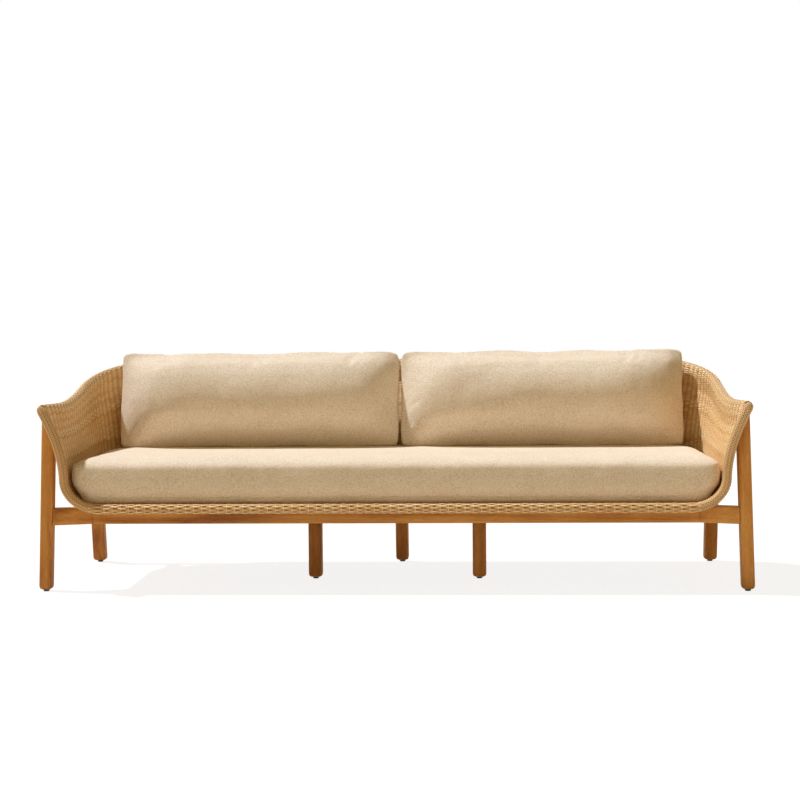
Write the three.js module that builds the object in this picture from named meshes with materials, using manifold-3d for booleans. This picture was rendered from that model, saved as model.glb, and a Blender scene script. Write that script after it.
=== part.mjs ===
// A long garden sofa. A teak frame on seven legs carries a woven shell on an aluminium frame,
// and one seat cushion and two back cushions lie in the shell.
// Millimetres, +Z up, the front faces -Y, and the origin is on the floor under the middle.
import * as THREE from 'three';
import { mergeVertices } from 'three/addons/utils/BufferGeometryUtils.js';
import Module from 'manifold-3d';

const wasm = await Module();
wasm.setup();

// Clearances
const gap = 0.3;
const overrun = 3;

// Overall width and depth. Depths are measured back from the line of the front feet.
const frontFootSpan = 2410;
const backRimDepth = 765;

// Legs
const midFootSpan = 590;
const midFootDepth = 279;
const rearFootInset = 27;
const rearFootSetback = 65;
const frontLegWidth = 45;
const legWidth = 49;
const legEdgeRadius = 10;
const footRounding = 8;
const footMiddleShare = 0.25;
const frontLegLeanShare = 0.033;
const rearLegRakeShare = 0.17;

// Foot glides
const glideHeight = 7;
const glideTopRadius = 11.5;
const glideFloorRadius = 9.5;
const glideStemRadius = 4;
const glideStemLength = 20;

// Rails
const railHeight = 59;
const railThickness = 44;
const railEdgeRadius = 4;
const frontRailBottom = 229;
const frontRailDepth = 46;
const railEndRun = 160;
const railEndDepth = 4;
const lowRailDrop = 20;
const lowRailThickness = 40;
const sideRailInset = 42;
const bearerThickness = 36;

// Bolts and dowels
const dowelRadius = 5;
const dowelLength = 56;
const dowelShift = 4;
const boltRadius = 4;
const boltHeadRadius = 7.5;
const boltHeadHeight = 5;
const boltGrip = 32;
const boltEndSpace = 3;
const frontLegBoltRecess = 14;
const frontRailBoltRecess = 10;
const railBoltRecess = 3;
const frontLegBoltHeightShares = { lower: 0.28, upper: 0.72 };

// Woven shell. The rim line is the middle of the wrapped border.
const armInset = 42;
const tipFlare = 35;
const tipDepth = -62;
const rimCornerRadius = 320;
const armRimTop = 648;
const backRimTop = 780;
const riseStartDepth = 70;
const riseLength = 800;
const skinThickness = 8;
const wrapRadius = 16;
const edgeTubeRadius = 10;
const drainRadius = 3;
const tipEndRadius = 9;
const tipEndRise = 3;
const lipLean = 17;
const lipDrop = 4;
const lipLength = 48;
const armWallInset = 37;
const backWallInset = 115;
const armCornerRun = 120;
const armCornerRise = 100;
const backCornerRun = 150;
const backCornerRise = 110;
const tipFlarePower = 4.6;
const wallFlarePower = 1.8;
const backWallPower = 1.3;
const cornerPower = 0.87;

// Aluminium tubes under the pan
const seatTubeWidth = 20;
const seatTubeWall = 2;
const seatTubeEndSpace = 253;
const seatTubeCount = 6;

// Seat cushion
const seatFrontSetback = 18;
const seatClearance = 6;
const seatEdgeHeight = 138;
const seatCrownRise = 28;
const seatFrontCornerRadius = 42;
const seatRoll = 120;
const seatUndercut = 48;
const seatBackRollCutShare = 0.6;
// Rows of the cushion from below: how far down the shell each lies, its insets as shares of the
// roll, and its share of the crown's rise
const seatRowShares = [
  { down: 1.66, side: 0, front: 0.06 },
  { down: 1.38, side: 0, front: 0 },
  { down: 1.14, side: 0, front: 0 },
  { down: 0.97, side: 0, front: 0.03 },
  { down: 0.9, side: 0.05, front: 0.08, crown: 0 },
  { down: 0.9, side: 0.25, front: 0.33, crown: 0.5 },
  { down: 0.9, side: 0.55, front: 0.65, crown: 0.86 },
  { down: 0.9, side: 1, front: 1, crown: 1 },
];

// Back cushions
const backCushionEndSpace = 99;
const backCushionHeight = 364;
const backCushionThickness = 205;
const backCushionSplit = 6;
const backCushionSidePull = 6;
const backCushionTopPull = 2;
const backCushionCornerInset = 11;
const backCushionLean = THREE.MathUtils.degToRad(14.6);
const backCushionSetback = 180;
const cushionWidthPower = 9;
const cushionHeightPower = 5;
const cushionFacePower = 0.4;
const cornerWidthPower = 30;
const cornerHeightPower = 8;

// Counts
const armSteps = 9;
const armStepPower = 1.5;
const cornerSteps = 8;
const wallSteps = 6;
const curveSteps = 5;
const wrapSides = 8;
const roundSides = 12;
const barCornerSteps = 2;
const cushionColumns = 14;
const cushionRows = 8;
const seatCornerSteps = 3;
const searchSteps = 20;
const shellStep = 0.01;

// Sizes that follow
const frontRailTop = frontRailBottom + railHeight;
const lowRailTop = frontRailTop - lowRailDrop;
const lowRailBottom = frontRailBottom;
const lowRailHeight = lowRailTop - lowRailBottom;
const frontRailLength = frontFootSpan - 2 * railEndRun;
const sideRailSpan = frontRailLength - 2 * sideRailInset;
const panHeight = frontRailTop + gap + skinThickness / 2;
const armHalfWidth = frontFootSpan / 2 - armInset;
const armRimHeight = armRimTop - wrapRadius;
const backRimHeight = backRimTop - wrapRadius;
const springDepth = backRimDepth - rimCornerRadius;
const frontRailBack = frontRailDepth + railThickness / 2;
const lowRailMiddle = (lowRailTop + lowRailBottom) / 2;
const rearFootSpan = frontFootSpan - 2 * rearFootInset;
const rearFootDepth = backRimDepth - rearFootSetback;
const rearRailDepth = rearFootDepth - rearLegRakeShare * lowRailMiddle;
const rearRailFront = rearRailDepth - lowRailThickness / 2;
const frontReach = tipDepth - wrapRadius;
const rearReach = backRimDepth + wrapRadius;
const skinEdge = wrapRadius + 3 * gap;
const seatTubeSpacing = (sideRailSpan - 2 * seatTubeEndSpace) / (seatTubeCount - 1);
const seatFrontDepth = tipDepth + seatFrontSetback;
const seatEdgeTop = panHeight + seatEdgeHeight;
const seatCrownTop = seatEdgeTop + seatCrownRise;
const backCushionWidth = armHalfWidth - backCushionEndSpace - backCushionSplit / 2;
const backCushionDepth = backRimDepth - backCushionSetback;

const teak = { color: 0xb9803f, roughness: 0.55, metalness: 0 };
const weave = { color: 0xc69a5e, roughness: 0.75, metalness: 0 };
const fabric = { color: 0xd9c2a0, roughness: 0.95, metalness: 0 };
const aluminium = { color: 0x8d8f92, roughness: 0.4, metalness: 1 };
const steel = { color: 0x55504a, roughness: 0.35, metalness: 1 };
const blackPlastic = { color: 0x161412, roughness: 0.6, metalness: 0 };

const pointsX = new THREE.Vector3(1, 0, 0);
const pointsY = new THREE.Vector3(0, 1, 0);
const pointsZ = new THREE.Vector3(0, 0, 1);

const sofa = new THREE.Group();
sofa.position.y = -(frontReach + rearReach) / 2;

function addPiece(name, geometry, look) {
  const mesh = new THREE.Mesh(geometry, new THREE.MeshStandardMaterial(look));
  mesh.name = name;
  sofa.add(mesh);
  return mesh;
}

// Closed bodies
function bodyFrom(points, faces) {
  const geometry = new THREE.BufferGeometry();
  const values = points.flatMap((point) => [point.x, point.y, point.z]);
  geometry.setAttribute('position', new THREE.Float32BufferAttribute(values, 3));
  geometry.setIndex(faces);
  return geometry;
}

function solidFrom(geometry) {
  const plain = geometry.clone();
  plain.deleteAttribute('normal');
  plain.deleteAttribute('uv');
  const merged = mergeVertices(plain);
  return new wasm.Manifold(new wasm.Mesh({
    numProp: 3,
    vertProperties: new Float32Array(merged.attributes.position.array),
    triVerts: new Uint32Array(merged.index.array),
  }));
}

function geometryFrom(solid) {
  const mesh = solid.getMesh();
  const geometry = new THREE.BufferGeometry();
  geometry.setAttribute('position', new THREE.Float32BufferAttribute(mesh.vertProperties, 3));
  geometry.setIndex([...mesh.triVerts]);
  return geometry;
}

function cut(geometry, cutters) {
  let solid = solidFrom(geometry);
  for (const cutter of cutters) {
    solid = solid.subtract(solidFrom(cutter));
  }
  return geometryFrom(solid);
}

// Joins rings of equally many points, with a fan over each end
function loft(rings) {
  const points = rings.flat();
  const sides = rings[0].length;
  const faces = [];
  for (let row = 0; row < rings.length - 1; row += 1) {
    for (let side = 0; side < sides; side += 1) {
      const here = row * sides + side;
      const next = row * sides + (side + 1) % sides;
      faces.push(here, next, next + sides, here, next + sides, here + sides);
    }
  }
  const top = (rings.length - 1) * sides;
  for (let side = 1; side < sides - 1; side += 1) {
    faces.push(0, side + 1, side, top, top + side, top + side + 1);
  }
  return bodyFrom(points, faces);
}

// A rectangle with round corners, as offsets along two directions
function roundedOutline(halfWidth, halfDepth, radius) {
  const outline = [];
  const corners = [[1, -1], [1, 1], [-1, 1], [-1, -1]];
  corners.forEach(([sideX, sideY], index) => {
    for (let step = 0; step <= barCornerSteps; step += 1) {
      const angle = (index - 1 + step / barCornerSteps) * Math.PI / 2;
      outline.push([
        sideX * (halfWidth - radius) + radius * Math.cos(angle),
        sideY * (halfDepth - radius) + radius * Math.sin(angle),
      ]);
    }
  });
  return outline;
}

// A bar whose sections lie square to one axis, so its ends stay flat against what they meet
function barAlongX(startX, endX, depthAt, bottom, top, thickness) {
  const middle = (bottom + top) / 2;
  const outline = roundedOutline(thickness / 2, (top - bottom) / 2, railEdgeRadius);
  return loft([startX, endX].map((x) => outline.map(
    ([across, up]) => new THREE.Vector3(x, depthAt(x) + across, middle + up),
  )));
}

function barAlongY(x, startY, endY, bottom, top, thickness) {
  const middle = (bottom + top) / 2;
  const outline = roundedOutline(thickness / 2, (top - bottom) / 2, railEdgeRadius);
  return loft([startY, endY].map((y) => outline.map(
    ([across, up]) => new THREE.Vector3(x - across, y, middle + up),
  )));
}

function cylinderBetween(start, end, radius) {
  const axis = end.clone().sub(start);
  const geometry = new THREE.CylinderGeometry(radius, radius, axis.length(), roundSides);
  const turn = new THREE.Quaternion().setFromUnitVectors(
    new THREE.Vector3(0, 1, 0),
    axis.normalize(),
  );
  geometry.applyQuaternion(turn);
  geometry.translate(...start.clone().add(end).divideScalar(2).toArray());
  return geometry;
}

// Bolts: a head on a shaft, with the hole and the recess that they need
function along(start, direction, distance) {
  return start.clone().addScaledVector(direction, distance);
}

function boltGeometry(face, direction, recess, length) {
  const profile = [
    [0, 0], [boltHeadRadius, 0], [boltHeadRadius, boltHeadHeight],
    [boltRadius, boltHeadHeight], [boltRadius, length], [0, length],
  ].map(([radius, height]) => new THREE.Vector2(radius, height));
  const geometry = new THREE.LatheGeometry(profile, roundSides);
  const turn = new THREE.Quaternion().setFromUnitVectors(new THREE.Vector3(0, 1, 0), direction);
  geometry.applyQuaternion(turn);
  geometry.translate(...along(face, direction, recess).toArray());
  return geometry;
}

function recessCutter(face, direction, recess) {
  return cylinderBetween(
    along(face, direction, -overrun),
    along(face, direction, recess + boltHeadHeight + gap),
    boltHeadRadius + gap,
  );
}

function shaftCutter(face, direction, recess, length) {
  return cylinderBetween(
    along(face, direction, recess),
    along(face, direction, recess + length + boltEndSpace),
    boltRadius + gap,
  );
}

// Legs
function legBlank(centreAt, top, width) {
  const full = roundedOutline(width / 2, width / 2, legEdgeRadius);
  const foot = roundedOutline(
    width / 2 - footRounding,
    width / 2 - footRounding,
    legEdgeRadius - footRounding / 2,
  );
  const middle = roundedOutline(
    width / 2 - footRounding * footMiddleShare,
    width / 2 - footRounding * footMiddleShare,
    legEdgeRadius,
  );
  const rows = [
    [glideHeight, foot],
    [glideHeight + footRounding / 2, middle],
    [glideHeight + footRounding + footRounding / 2, full],
    [top, full],
  ];
  return loft(rows.map(([height, outline]) => outline.map(([across, deep]) => {
    const centre = centreAt(height);
    return new THREE.Vector3(centre.x + across, centre.y + deep, height);
  })));
}

function glideAt(centreAt) {
  const centre = centreAt(glideHeight);
  const profile = [
    [0, 0], [glideFloorRadius, 0], [glideTopRadius, glideHeight - gap],
    [glideStemRadius, glideHeight - gap], [glideStemRadius, glideStemLength], [0, glideStemLength],
  ].map(([radius, height]) => new THREE.Vector2(radius, height));
  const geometry = new THREE.LatheGeometry(profile, roundSides);
  geometry.rotateX(Math.PI / 2);
  geometry.translate(centre.x, centre.y, 0);
  return geometry;
}

function stemCutter(centreAt) {
  const centre = centreAt(glideHeight);
  return cylinderBetween(
    new THREE.Vector3(centre.x, centre.y, glideHeight - overrun),
    new THREE.Vector3(centre.x, centre.y, glideStemLength + gap),
    glideStemRadius + gap,
  );
}

// The shell's surface. Along: 0 to 1 runs back along an arm, 1 to 2 round the rear corner.
// Down: 0 to 1 goes from the rim down the wall, 1 to 2 round into the flat pan.
function blendOf(alongShell) {
  return THREE.MathUtils.smoothstep(alongShell, 1, 2);
}

function between(armValue, backValue, alongShell) {
  return THREE.MathUtils.lerp(armValue, backValue, blendOf(alongShell));
}

function rimHeightAt(alongShell, depth) {
  const turned = Math.max(alongShell - 1, 0) * Math.PI / 2;
  const distance = Math.min(depth, springDepth) - riseStartDepth + rimCornerRadius * turned;
  const rise = THREE.MathUtils.smoothstep(distance, 0, riseLength);
  return THREE.MathUtils.lerp(armRimHeight, backRimHeight, rise);
}

function shellPoint(alongShell, down, startDepth = tipDepth) {
  const wallInset = between(armWallInset, backWallInset, alongShell);
  const cornerRun = between(armCornerRun, backCornerRun, alongShell);
  const cornerRise = between(armCornerRise, backCornerRise, alongShell);
  const wallPower = between(wallFlarePower, backWallPower, alongShell);
  const share = Math.min(alongShell, 1) ** armStepPower;
  const armDepth = THREE.MathUtils.lerp(startDepth, springDepth, share);
  const rimHeight = rimHeightAt(alongShell, armDepth);
  const wallFoot = panHeight + cornerRise;
  const upShare = Math.max(1 - down, 0);
  const turn = Math.max(down - 1, 0) * Math.PI / 2;
  const inset = wallInset * (1 - upShare ** wallPower) + cornerRun * (1 - Math.cos(turn));
  const height = down < 1
    ? THREE.MathUtils.lerp(wallFoot, rimHeight, upShare)
    : panHeight + cornerRise * (1 - Math.sin(turn));
  if (alongShell > 1) {
    const angle = Math.min(alongShell - 1, 1) * Math.PI / 2;
    const reach = rimCornerRadius - inset;
    return new THREE.Vector3(
      armHalfWidth - rimCornerRadius + reach * Math.max(Math.cos(angle), 0) ** cornerPower,
      springDepth + reach * Math.sin(angle) ** cornerPower,
      height,
    );
  }
  const frontShare = Math.max((springDepth - armDepth) / (springDepth - tipDepth), 0);
  const flare = tipFlare * frontShare ** tipFlarePower * upShare ** wallFlarePower;
  const lowShare = 1 - (height - panHeight) / (rimHeight - panHeight);
  const fade = 1 - THREE.MathUtils.smoothstep(armDepth, tipDepth + lipLength, springDepth);
  return new THREE.Vector3(
    armHalfWidth + flare - inset,
    armDepth + lipLean * lowShare * fade,
    height,
  );
}

// The direction from the skin towards the seat
function inwardAt(alongShell, down, startDepth) {
  const step = shellStep;
  const before = Math.max(alongShell - step, 0);
  const after = Math.min(alongShell + step, 2 - step);
  const higher = Math.max(down - step, 0);
  const lower = Math.min(down + step, 2);
  const backward = shellPoint(after, down, startDepth)
    .sub(shellPoint(Math.min(before, after - step), down, startDepth));
  const downward = shellPoint(alongShell, lower, startDepth)
    .sub(shellPoint(alongShell, higher, startDepth));
  return downward.cross(backward).normalize().negate();
}

function stationsAlong(startDepth) {
  const stations = [];
  for (let step = 0; step <= armSteps; step += 1) {
    stations.push(step / armSteps);
  }
  for (let step = 1; step <= cornerSteps; step += 1) {
    stations.push(1 + step / cornerSteps);
  }
  return stations.map((alongShell) => ({ alongShell, startDepth }));
}

function mirrored(point) {
  return new THREE.Vector3(-point.x, point.y, point.z);
}

// The share down the wall at which a point lies at the given distance from the rim line
function shareBelowRim(alongShell, startDepth, distance) {
  const rim = shellPoint(alongShell, 0, startDepth);
  let near = 0;
  let far = 1;
  for (let round = 0; round < searchSteps; round += 1) {
    const middle = (near + far) / 2;
    if (shellPoint(alongShell, middle, startDepth).distanceTo(rim) < distance) {
      near = middle;
    } else {
      far = middle;
    }
  }
  return far;
}

// The woven skin: wall, corner and pan as one thin closed body
function skinBody(halfThickness, rimDistances) {
  const startDepth = tipDepth + skinEdge;
  const stations = stationsAlong(startDepth);
  const extraRows = rimDistances.length - 1;
  const rows = extraRows + wallSteps + curveSteps + 1;
  const sheets = [halfThickness, -halfThickness].map((offset) => stations.map((station) => {
    const shares = rimDistances.map(
      (distance) => shareBelowRim(station.alongShell, startDepth, distance),
    );
    const rimShare = shares[extraRows];
    for (let step = 1; step <= wallSteps + curveSteps; step += 1) {
      shares.push(step <= wallSteps
        ? THREE.MathUtils.lerp(rimShare, 1, step / wallSteps)
        : 1 + (step - wallSteps) / curveSteps);
    }
    return shares.map((down) => {
      const inward = inwardAt(station.alongShell, down, startDepth);
      if (down === 2) {
        inward.copy(pointsZ);
      }
      return shellPoint(station.alongShell, down, startDepth).addScaledVector(inward, offset);
    });
  }));
  const half = stations.length;
  const points = [];
  for (const sheet of sheets) {
    sheet.forEach((column) => points.push(...column));
    [...sheet].reverse().forEach((column) => points.push(...column.map(mirrored)));
  }
  const columns = 2 * half;
  const perSheet = columns * rows;
  const at = (sheet, column, row) => sheet * perSheet + column * rows + row;
  const faces = [];
  const quad = (a, b, c, d) => faces.push(a, b, c, a, c, d);
  for (let column = 0; column < columns - 1; column += 1) {
    for (let row = 0; row < rows - 1; row += 1) {
      quad(at(0, column, row), at(0, column + 1, row),
        at(0, column + 1, row + 1), at(0, column, row + 1));
      quad(at(1, column, row), at(1, column, row + 1),
        at(1, column + 1, row + 1), at(1, column + 1, row));
    }
    quad(at(0, column, 0), at(1, column, 0), at(1, column + 1, 0), at(0, column + 1, 0));
  }
  const last = rows - 1;
  for (let column = 0; column < half - 1; column += 1) {
    const other = columns - 1 - column;
    quad(at(0, column, last), at(0, column + 1, last),
      at(0, other - 1, last), at(0, other, last));
    quad(at(1, column, last), at(1, other, last),
      at(1, other - 1, last), at(1, column + 1, last));
  }
  for (let row = 0; row < rows - 1; row += 1) {
    quad(at(0, 0, row), at(0, 0, row + 1), at(1, 0, row + 1), at(1, 0, row));
    quad(at(0, columns - 1, row), at(1, columns - 1, row),
      at(1, columns - 1, row + 1), at(0, columns - 1, row + 1));
  }
  quad(at(0, 0, last), at(0, columns - 1, last), at(1, columns - 1, last), at(1, 0, last));
  return bodyFrom(points, faces);
}

// Tubes along a line of points. A bore makes a sleeve that is open at both ends.
// The ends can be cut level at a height, with the bore drawn in to a small hole there.
function tubeBody({ line, side, radius, bore, levelEnd }) {
  const sides = wrapSides;
  const points = [];
  line.forEach((point, index) => {
    const atEnd = index === 0 || index === line.length - 1;
    const levelled = atEnd && levelEnd !== undefined;
    const radii = levelled ? [tipEndRadius, drainRadius] : [radius, bore].filter(Boolean);
    const before = line[Math.max(index - 1, 0)];
    const after = line[Math.min(index + 1, line.length - 1)];
    const tangent = after.clone().sub(before).normalize();
    const across = tangent.clone().cross(side).normalize();
    const up = across.clone().cross(tangent).normalize();
    for (const ringRadius of radii) {
      for (let step = 0; step < sides; step += 1) {
        const angle = (step + 0.5) / sides * 2 * Math.PI;
        const corner = point.clone()
          .addScaledVector(across, ringRadius * Math.cos(angle))
          .addScaledVector(up, ringRadius * Math.sin(angle));
        if (levelled) {
          corner.addScaledVector(tangent, (levelEnd - corner.z) / tangent.z);
        }
        points.push(corner);
      }
    }
  });
  const perRing = points.length / line.length;
  const faces = [];
  for (let row = 0; row < line.length - 1; row += 1) {
    for (let step = 0; step < sides; step += 1) {
      const here = row * perRing + step;
      const next = row * perRing + (step + 1) % sides;
      faces.push(here, here + perRing, next + perRing, here, next + perRing, next);
      if (bore > 0) {
        const innerHere = here + sides;
        const innerNext = next + sides;
        faces.push(innerHere, innerNext + perRing, innerHere + perRing);
        faces.push(innerHere, innerNext, innerNext + perRing);
      }
    }
  }
  const end = (line.length - 1) * perRing;
  for (let step = 0; step < sides; step += 1) {
    const next = (step + 1) % sides;
    if (bore > 0) {
      faces.push(step, next, next + sides, step, next + sides, step + sides);
      faces.push(end + step, end + next + sides, end + next);
      faces.push(end + step, end + step + sides, end + next + sides);
    } else if (step > 0 && step < sides - 1) {
      faces.push(0, step, step + 1, end, end + step + 1, end + step);
    }
  }
  return bodyFrom(points, faces);
}

function frontEdgeLine() {
  const half = [];
  const wallPoints = 2 * wallSteps;
  for (let step = 0; step <= wallPoints + curveSteps; step += 1) {
    const down = step <= wallPoints ? step / wallPoints : 1 + (step - wallPoints) / curveSteps;
    const point = shellPoint(0, down);
    point.z -= lipDrop * (armRimHeight - point.z) / (armRimHeight - panHeight);
    half.push(point);
  }
  const outward = half[0].clone().sub(half[1]).normalize();
  half[0].addScaledVector(outward, wrapRadius / 2);
  return [...half, ...[...half].reverse().map(mirrored)];
}

function rimLine() {
  const half = stationsAlong(tipDepth).map(({ alongShell }) => shellPoint(alongShell, 0));
  const rimWay = half[1].clone().sub(half[0]).normalize();
  const edge = frontEdgeLine();
  const edgeWay = edge[1].clone().sub(edge[0]).normalize();
  const lean = Math.abs(rimWay.dot(edgeWay));
  const flatRadius = wrapRadius * Math.cos(Math.PI / wrapSides);
  const clear = (flatRadius + wrapRadius * lean + gap) / Math.sqrt(1 - lean ** 2);
  half[0].addScaledVector(rimWay, clear);
  return [...half, ...[...half].reverse().map(mirrored)];
}

// Teak frame
const frontLegTop = armRimHeight - wrapRadius - gap;

function frontLegCentre(side) {
  return (height) => new THREE.Vector3(
    side * (frontFootSpan / 2 - frontLegLeanShare * height), 0, height,
  );
}

function rearLegCentre(x) {
  return (height) => new THREE.Vector3(x, rearFootDepth - rearLegRakeShare * height, height);
}

function midLegCentre(side) {
  return (height) => new THREE.Vector3(side * midFootSpan / 2, midFootDepth, height);
}

const shellClearer = solidFrom(skinBody(skinThickness / 2 + gap, [skinEdge / 2, skinEdge]));
const railEndInner = frontRailLength / 2 + gap;
const frontLegInner = frontFootSpan / 2 - frontLegWidth / 2 - frontLegLeanShare * frontRailTop;
const railMiddle = (frontRailBottom + frontRailTop) / 2;
const drillings = [];

// The outer end of a rail end follows the leaning face of its leg
function leanOuterEnd(geometry, side) {
  const position = geometry.attributes.position;
  for (let index = 0; index < position.count; index += 1) {
    if (Math.abs(position.getX(index)) > railEndInner + gap) {
      const shift = frontLegLeanShare * (frontRailTop - position.getZ(index));
      position.setX(index, position.getX(index) + side * shift);
    }
  }
}

for (const [word, side] of [['left', -1], ['right', 1]]) {
  const centreAt = frontLegCentre(side);
  const inwardX = pointsX.clone().multiplyScalar(-side);
  const cutters = [stemCutter(centreAt)];
  const railEndCutters = [];
  for (const [level, share] of Object.entries(frontLegBoltHeightShares)) {
    const face = centreAt(frontRailBottom + railHeight * share);
    face.x += side * frontLegWidth / 2;
    face.y = railEndDepth;
    const length = frontLegWidth - frontLegBoltRecess + boltGrip;
    cutters.push(recessCutter(face, inwardX, frontLegBoltRecess));
    cutters.push(shaftCutter(face, inwardX, frontLegBoltRecess, length));
    railEndCutters.push(shaftCutter(face, inwardX, frontLegBoltRecess, length));
    addPiece(
      `front_leg_bolt_${word}_${level}`,
      boltGeometry(face, inwardX, frontLegBoltRecess, length),
      steel,
    );
    addPiece(`front_leg_plug_${word}_${level}`, cylinderBetween(
      along(face, inwardX, gap), along(face, inwardX, frontLegBoltRecess - gap), boltHeadRadius,
    ), teak);
  }
  const drilled = cut(legBlank(centreAt, frontLegTop, frontLegWidth), cutters);
  const scribed = solidFrom(drilled).subtract(shellClearer).decompose();
  scribed.sort((one, other) => other.volume() - one.volume());
  addPiece(`front_leg_${word}`, geometryFrom(scribed[0]), teak);

  const railEndOuter = frontLegInner - gap;
  const depthAt = (x) => THREE.MathUtils.mapLinear(
    Math.abs(x), railEndInner, railEndOuter, frontRailDepth, railEndDepth,
  );
  const ends = [side * railEndInner, side * railEndOuter].sort((a, b) => a - b);
  const blank = barAlongX(
    ends[0], ends[1], depthAt, frontRailBottom, frontRailTop, railThickness,
  );
  leanOuterEnd(blank, side);
  const seam = new THREE.Vector3(side * railEndInner, frontRailDepth - dowelShift, railMiddle);
  const dowelCutter = cylinderBetween(
    along(seam, pointsX, -dowelLength / 2 - gap),
    along(seam, pointsX, dowelLength / 2 + gap),
    dowelRadius + gap,
  );
  railEndCutters.push(dowelCutter);
  drillings.push({ pieces: ['front_rail'], cutters: [dowelCutter] });
  addPiece(`rail_end_dowel_${word}`, cylinderBetween(
    along(seam, pointsX, -dowelLength / 2),
    along(seam, pointsX, dowelLength / 2),
    dowelRadius,
  ), teak);
  addPiece(`front_rail_end_${word}`, cut(blank, railEndCutters), teak);
}

// Bolts that hold rail to rail and leg to rail, each with the pieces that it goes through
function addBolt(name, face, direction, recess, through, pieces) {
  const length = through - recess + boltGrip;
  addPiece(name, boltGeometry(face, direction, recess, length), steel);
  drillings.push({
    pieces,
    cutters: [
      recessCutter(face, direction, recess),
      shaftCutter(face, direction, recess, length),
    ],
  });
}

const sideRailX = sideRailSpan / 2;
const rearLegX = rearFootSpan / 2;
for (const [word, side] of [['left', -1], ['right', 1]]) {
  addBolt(
    `side_rail_bolt_${word}_front`,
    new THREE.Vector3(side * sideRailX, frontRailDepth - railThickness / 2, lowRailMiddle),
    pointsY, frontRailBoltRecess, railThickness, ['front_rail', `side_rail_${word}`],
  );
  addBolt(
    `side_rail_bolt_${word}_rear`,
    new THREE.Vector3(side * sideRailX, rearRailDepth + lowRailThickness / 2, lowRailMiddle),
    pointsY.clone().negate(), railBoltRecess, lowRailThickness,
    ['rear_rail', `side_rail_${word}`],
  );
  addBolt(
    `mid_rail_bolt_${word}`,
    new THREE.Vector3(side * (sideRailX + railThickness / 2), midFootDepth, lowRailMiddle),
    pointsX.clone().multiplyScalar(-side), railBoltRecess, railThickness,
    [`side_rail_${word}`, 'mid_rail'],
  );
  addBolt(
    `rear_leg_bolt_${word}`,
    new THREE.Vector3(side * (rearLegX + legWidth / 2), rearRailDepth, lowRailMiddle),
    pointsX.clone().multiplyScalar(-side), railBoltRecess, legWidth,
    [`rear_leg_${word}`, 'rear_rail'],
  );
  addBolt(
    `mid_leg_bolt_${word}`,
    new THREE.Vector3(side * midFootSpan / 2, midFootDepth, lowRailTop),
    pointsZ.clone().negate(), railBoltRecess, lowRailHeight, ['mid_rail', `mid_leg_${word}`],
  );
}
const rearCentreAt = rearLegCentre(0);
addBolt(
  'rear_leg_bolt_centre',
  new THREE.Vector3(0, rearCentreAt(lowRailMiddle).y, lowRailTop),
  pointsZ.clone().negate(), railBoltRecess, lowRailHeight, ['rear_rail', 'rear_leg_centre'],
);

function drilledPiece(name, geometry, look) {
  const cutters = drillings.filter((entry) => entry.pieces.includes(name))
    .flatMap((entry) => entry.cutters);
  return addPiece(name, cutters.length > 0 ? cut(geometry, cutters) : geometry, look);
}

drilledPiece('front_rail', barAlongX(
  -frontRailLength / 2, frontRailLength / 2, () => frontRailDepth,
  frontRailBottom, frontRailTop, railThickness,
), teak);
const rearRailHalf = rearLegX - legWidth / 2 - gap;
drilledPiece('rear_rail', barAlongX(
  -rearRailHalf, rearRailHalf, () => rearRailDepth, lowRailBottom, lowRailTop, lowRailThickness,
), teak);
const midRailHalf = sideRailX - railThickness / 2 - gap;
drilledPiece('mid_rail', barAlongX(
  -midRailHalf, midRailHalf, () => midFootDepth, lowRailBottom, lowRailTop, lowRailThickness,
), teak);
const midRailFront = midFootDepth - lowRailThickness / 2;
const midRailBack = midFootDepth + lowRailThickness / 2;
for (const [word, side] of [['left', -1], ['right', 1]]) {
  drilledPiece(`side_rail_${word}`, barAlongY(
    side * sideRailX, frontRailBack + gap, rearRailFront - gap,
    lowRailBottom, lowRailTop, railThickness,
  ), teak);
  addPiece(`bearer_front_${word}`, barAlongY(
    side * midFootSpan / 2, frontRailBack + gap, midRailFront - gap,
    lowRailBottom, lowRailTop, bearerThickness,
  ), teak);
  addPiece(`bearer_rear_${word}`, barAlongY(
    side * midFootSpan / 2, midRailBack + gap, rearRailFront - gap,
    lowRailBottom, lowRailTop, bearerThickness,
  ), teak);
}

const shortLegs = [
  ['mid_leg_left', midLegCentre(-1), lowRailBottom - gap],
  ['mid_leg_right', midLegCentre(1), lowRailBottom - gap],
  ['rear_leg_left', rearLegCentre(-rearLegX), lowRailTop],
  ['rear_leg_centre', rearCentreAt, lowRailBottom - gap],
  ['rear_leg_right', rearLegCentre(rearLegX), lowRailTop],
];
for (const [name, centreAt, top] of shortLegs) {
  drilledPiece(name, cut(legBlank(centreAt, top, legWidth), [stemCutter(centreAt)]), teak);
}

const glideCentres = [
  ['front_left', frontLegCentre(-1)], ['front_right', frontLegCentre(1)],
  ...shortLegs.map(([name, centreAt]) => [name.replace('_leg', ''), centreAt]),
];
for (const [place, centreAt] of glideCentres) {
  addPiece(`glide_${place}`, glideAt(centreAt), blackPlastic);
}

// Woven shell, its wrapped borders and the tubes inside them
addPiece('woven_shell', skinBody(skinThickness / 2, [skinEdge]), weave);
const borderBore = edgeTubeRadius + gap;
addPiece('front_edge_wrap', tubeBody({
  line: frontEdgeLine(), side: pointsY, radius: wrapRadius, bore: borderBore,
  levelEnd: armRimTop + tipEndRise,
}), weave);
addPiece('rim_wrap', tubeBody({
  line: rimLine(), side: pointsZ, radius: wrapRadius, bore: borderBore,
}), weave);
addPiece('front_edge_tube', tubeBody({
  line: frontEdgeLine().slice(1, -1), side: pointsY, radius: edgeTubeRadius, bore: 0,
}), aluminium);
addPiece('rim_tube', tubeBody({
  line: rimLine(), side: pointsZ, radius: edgeTubeRadius, bore: 0,
}), aluminium);

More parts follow.
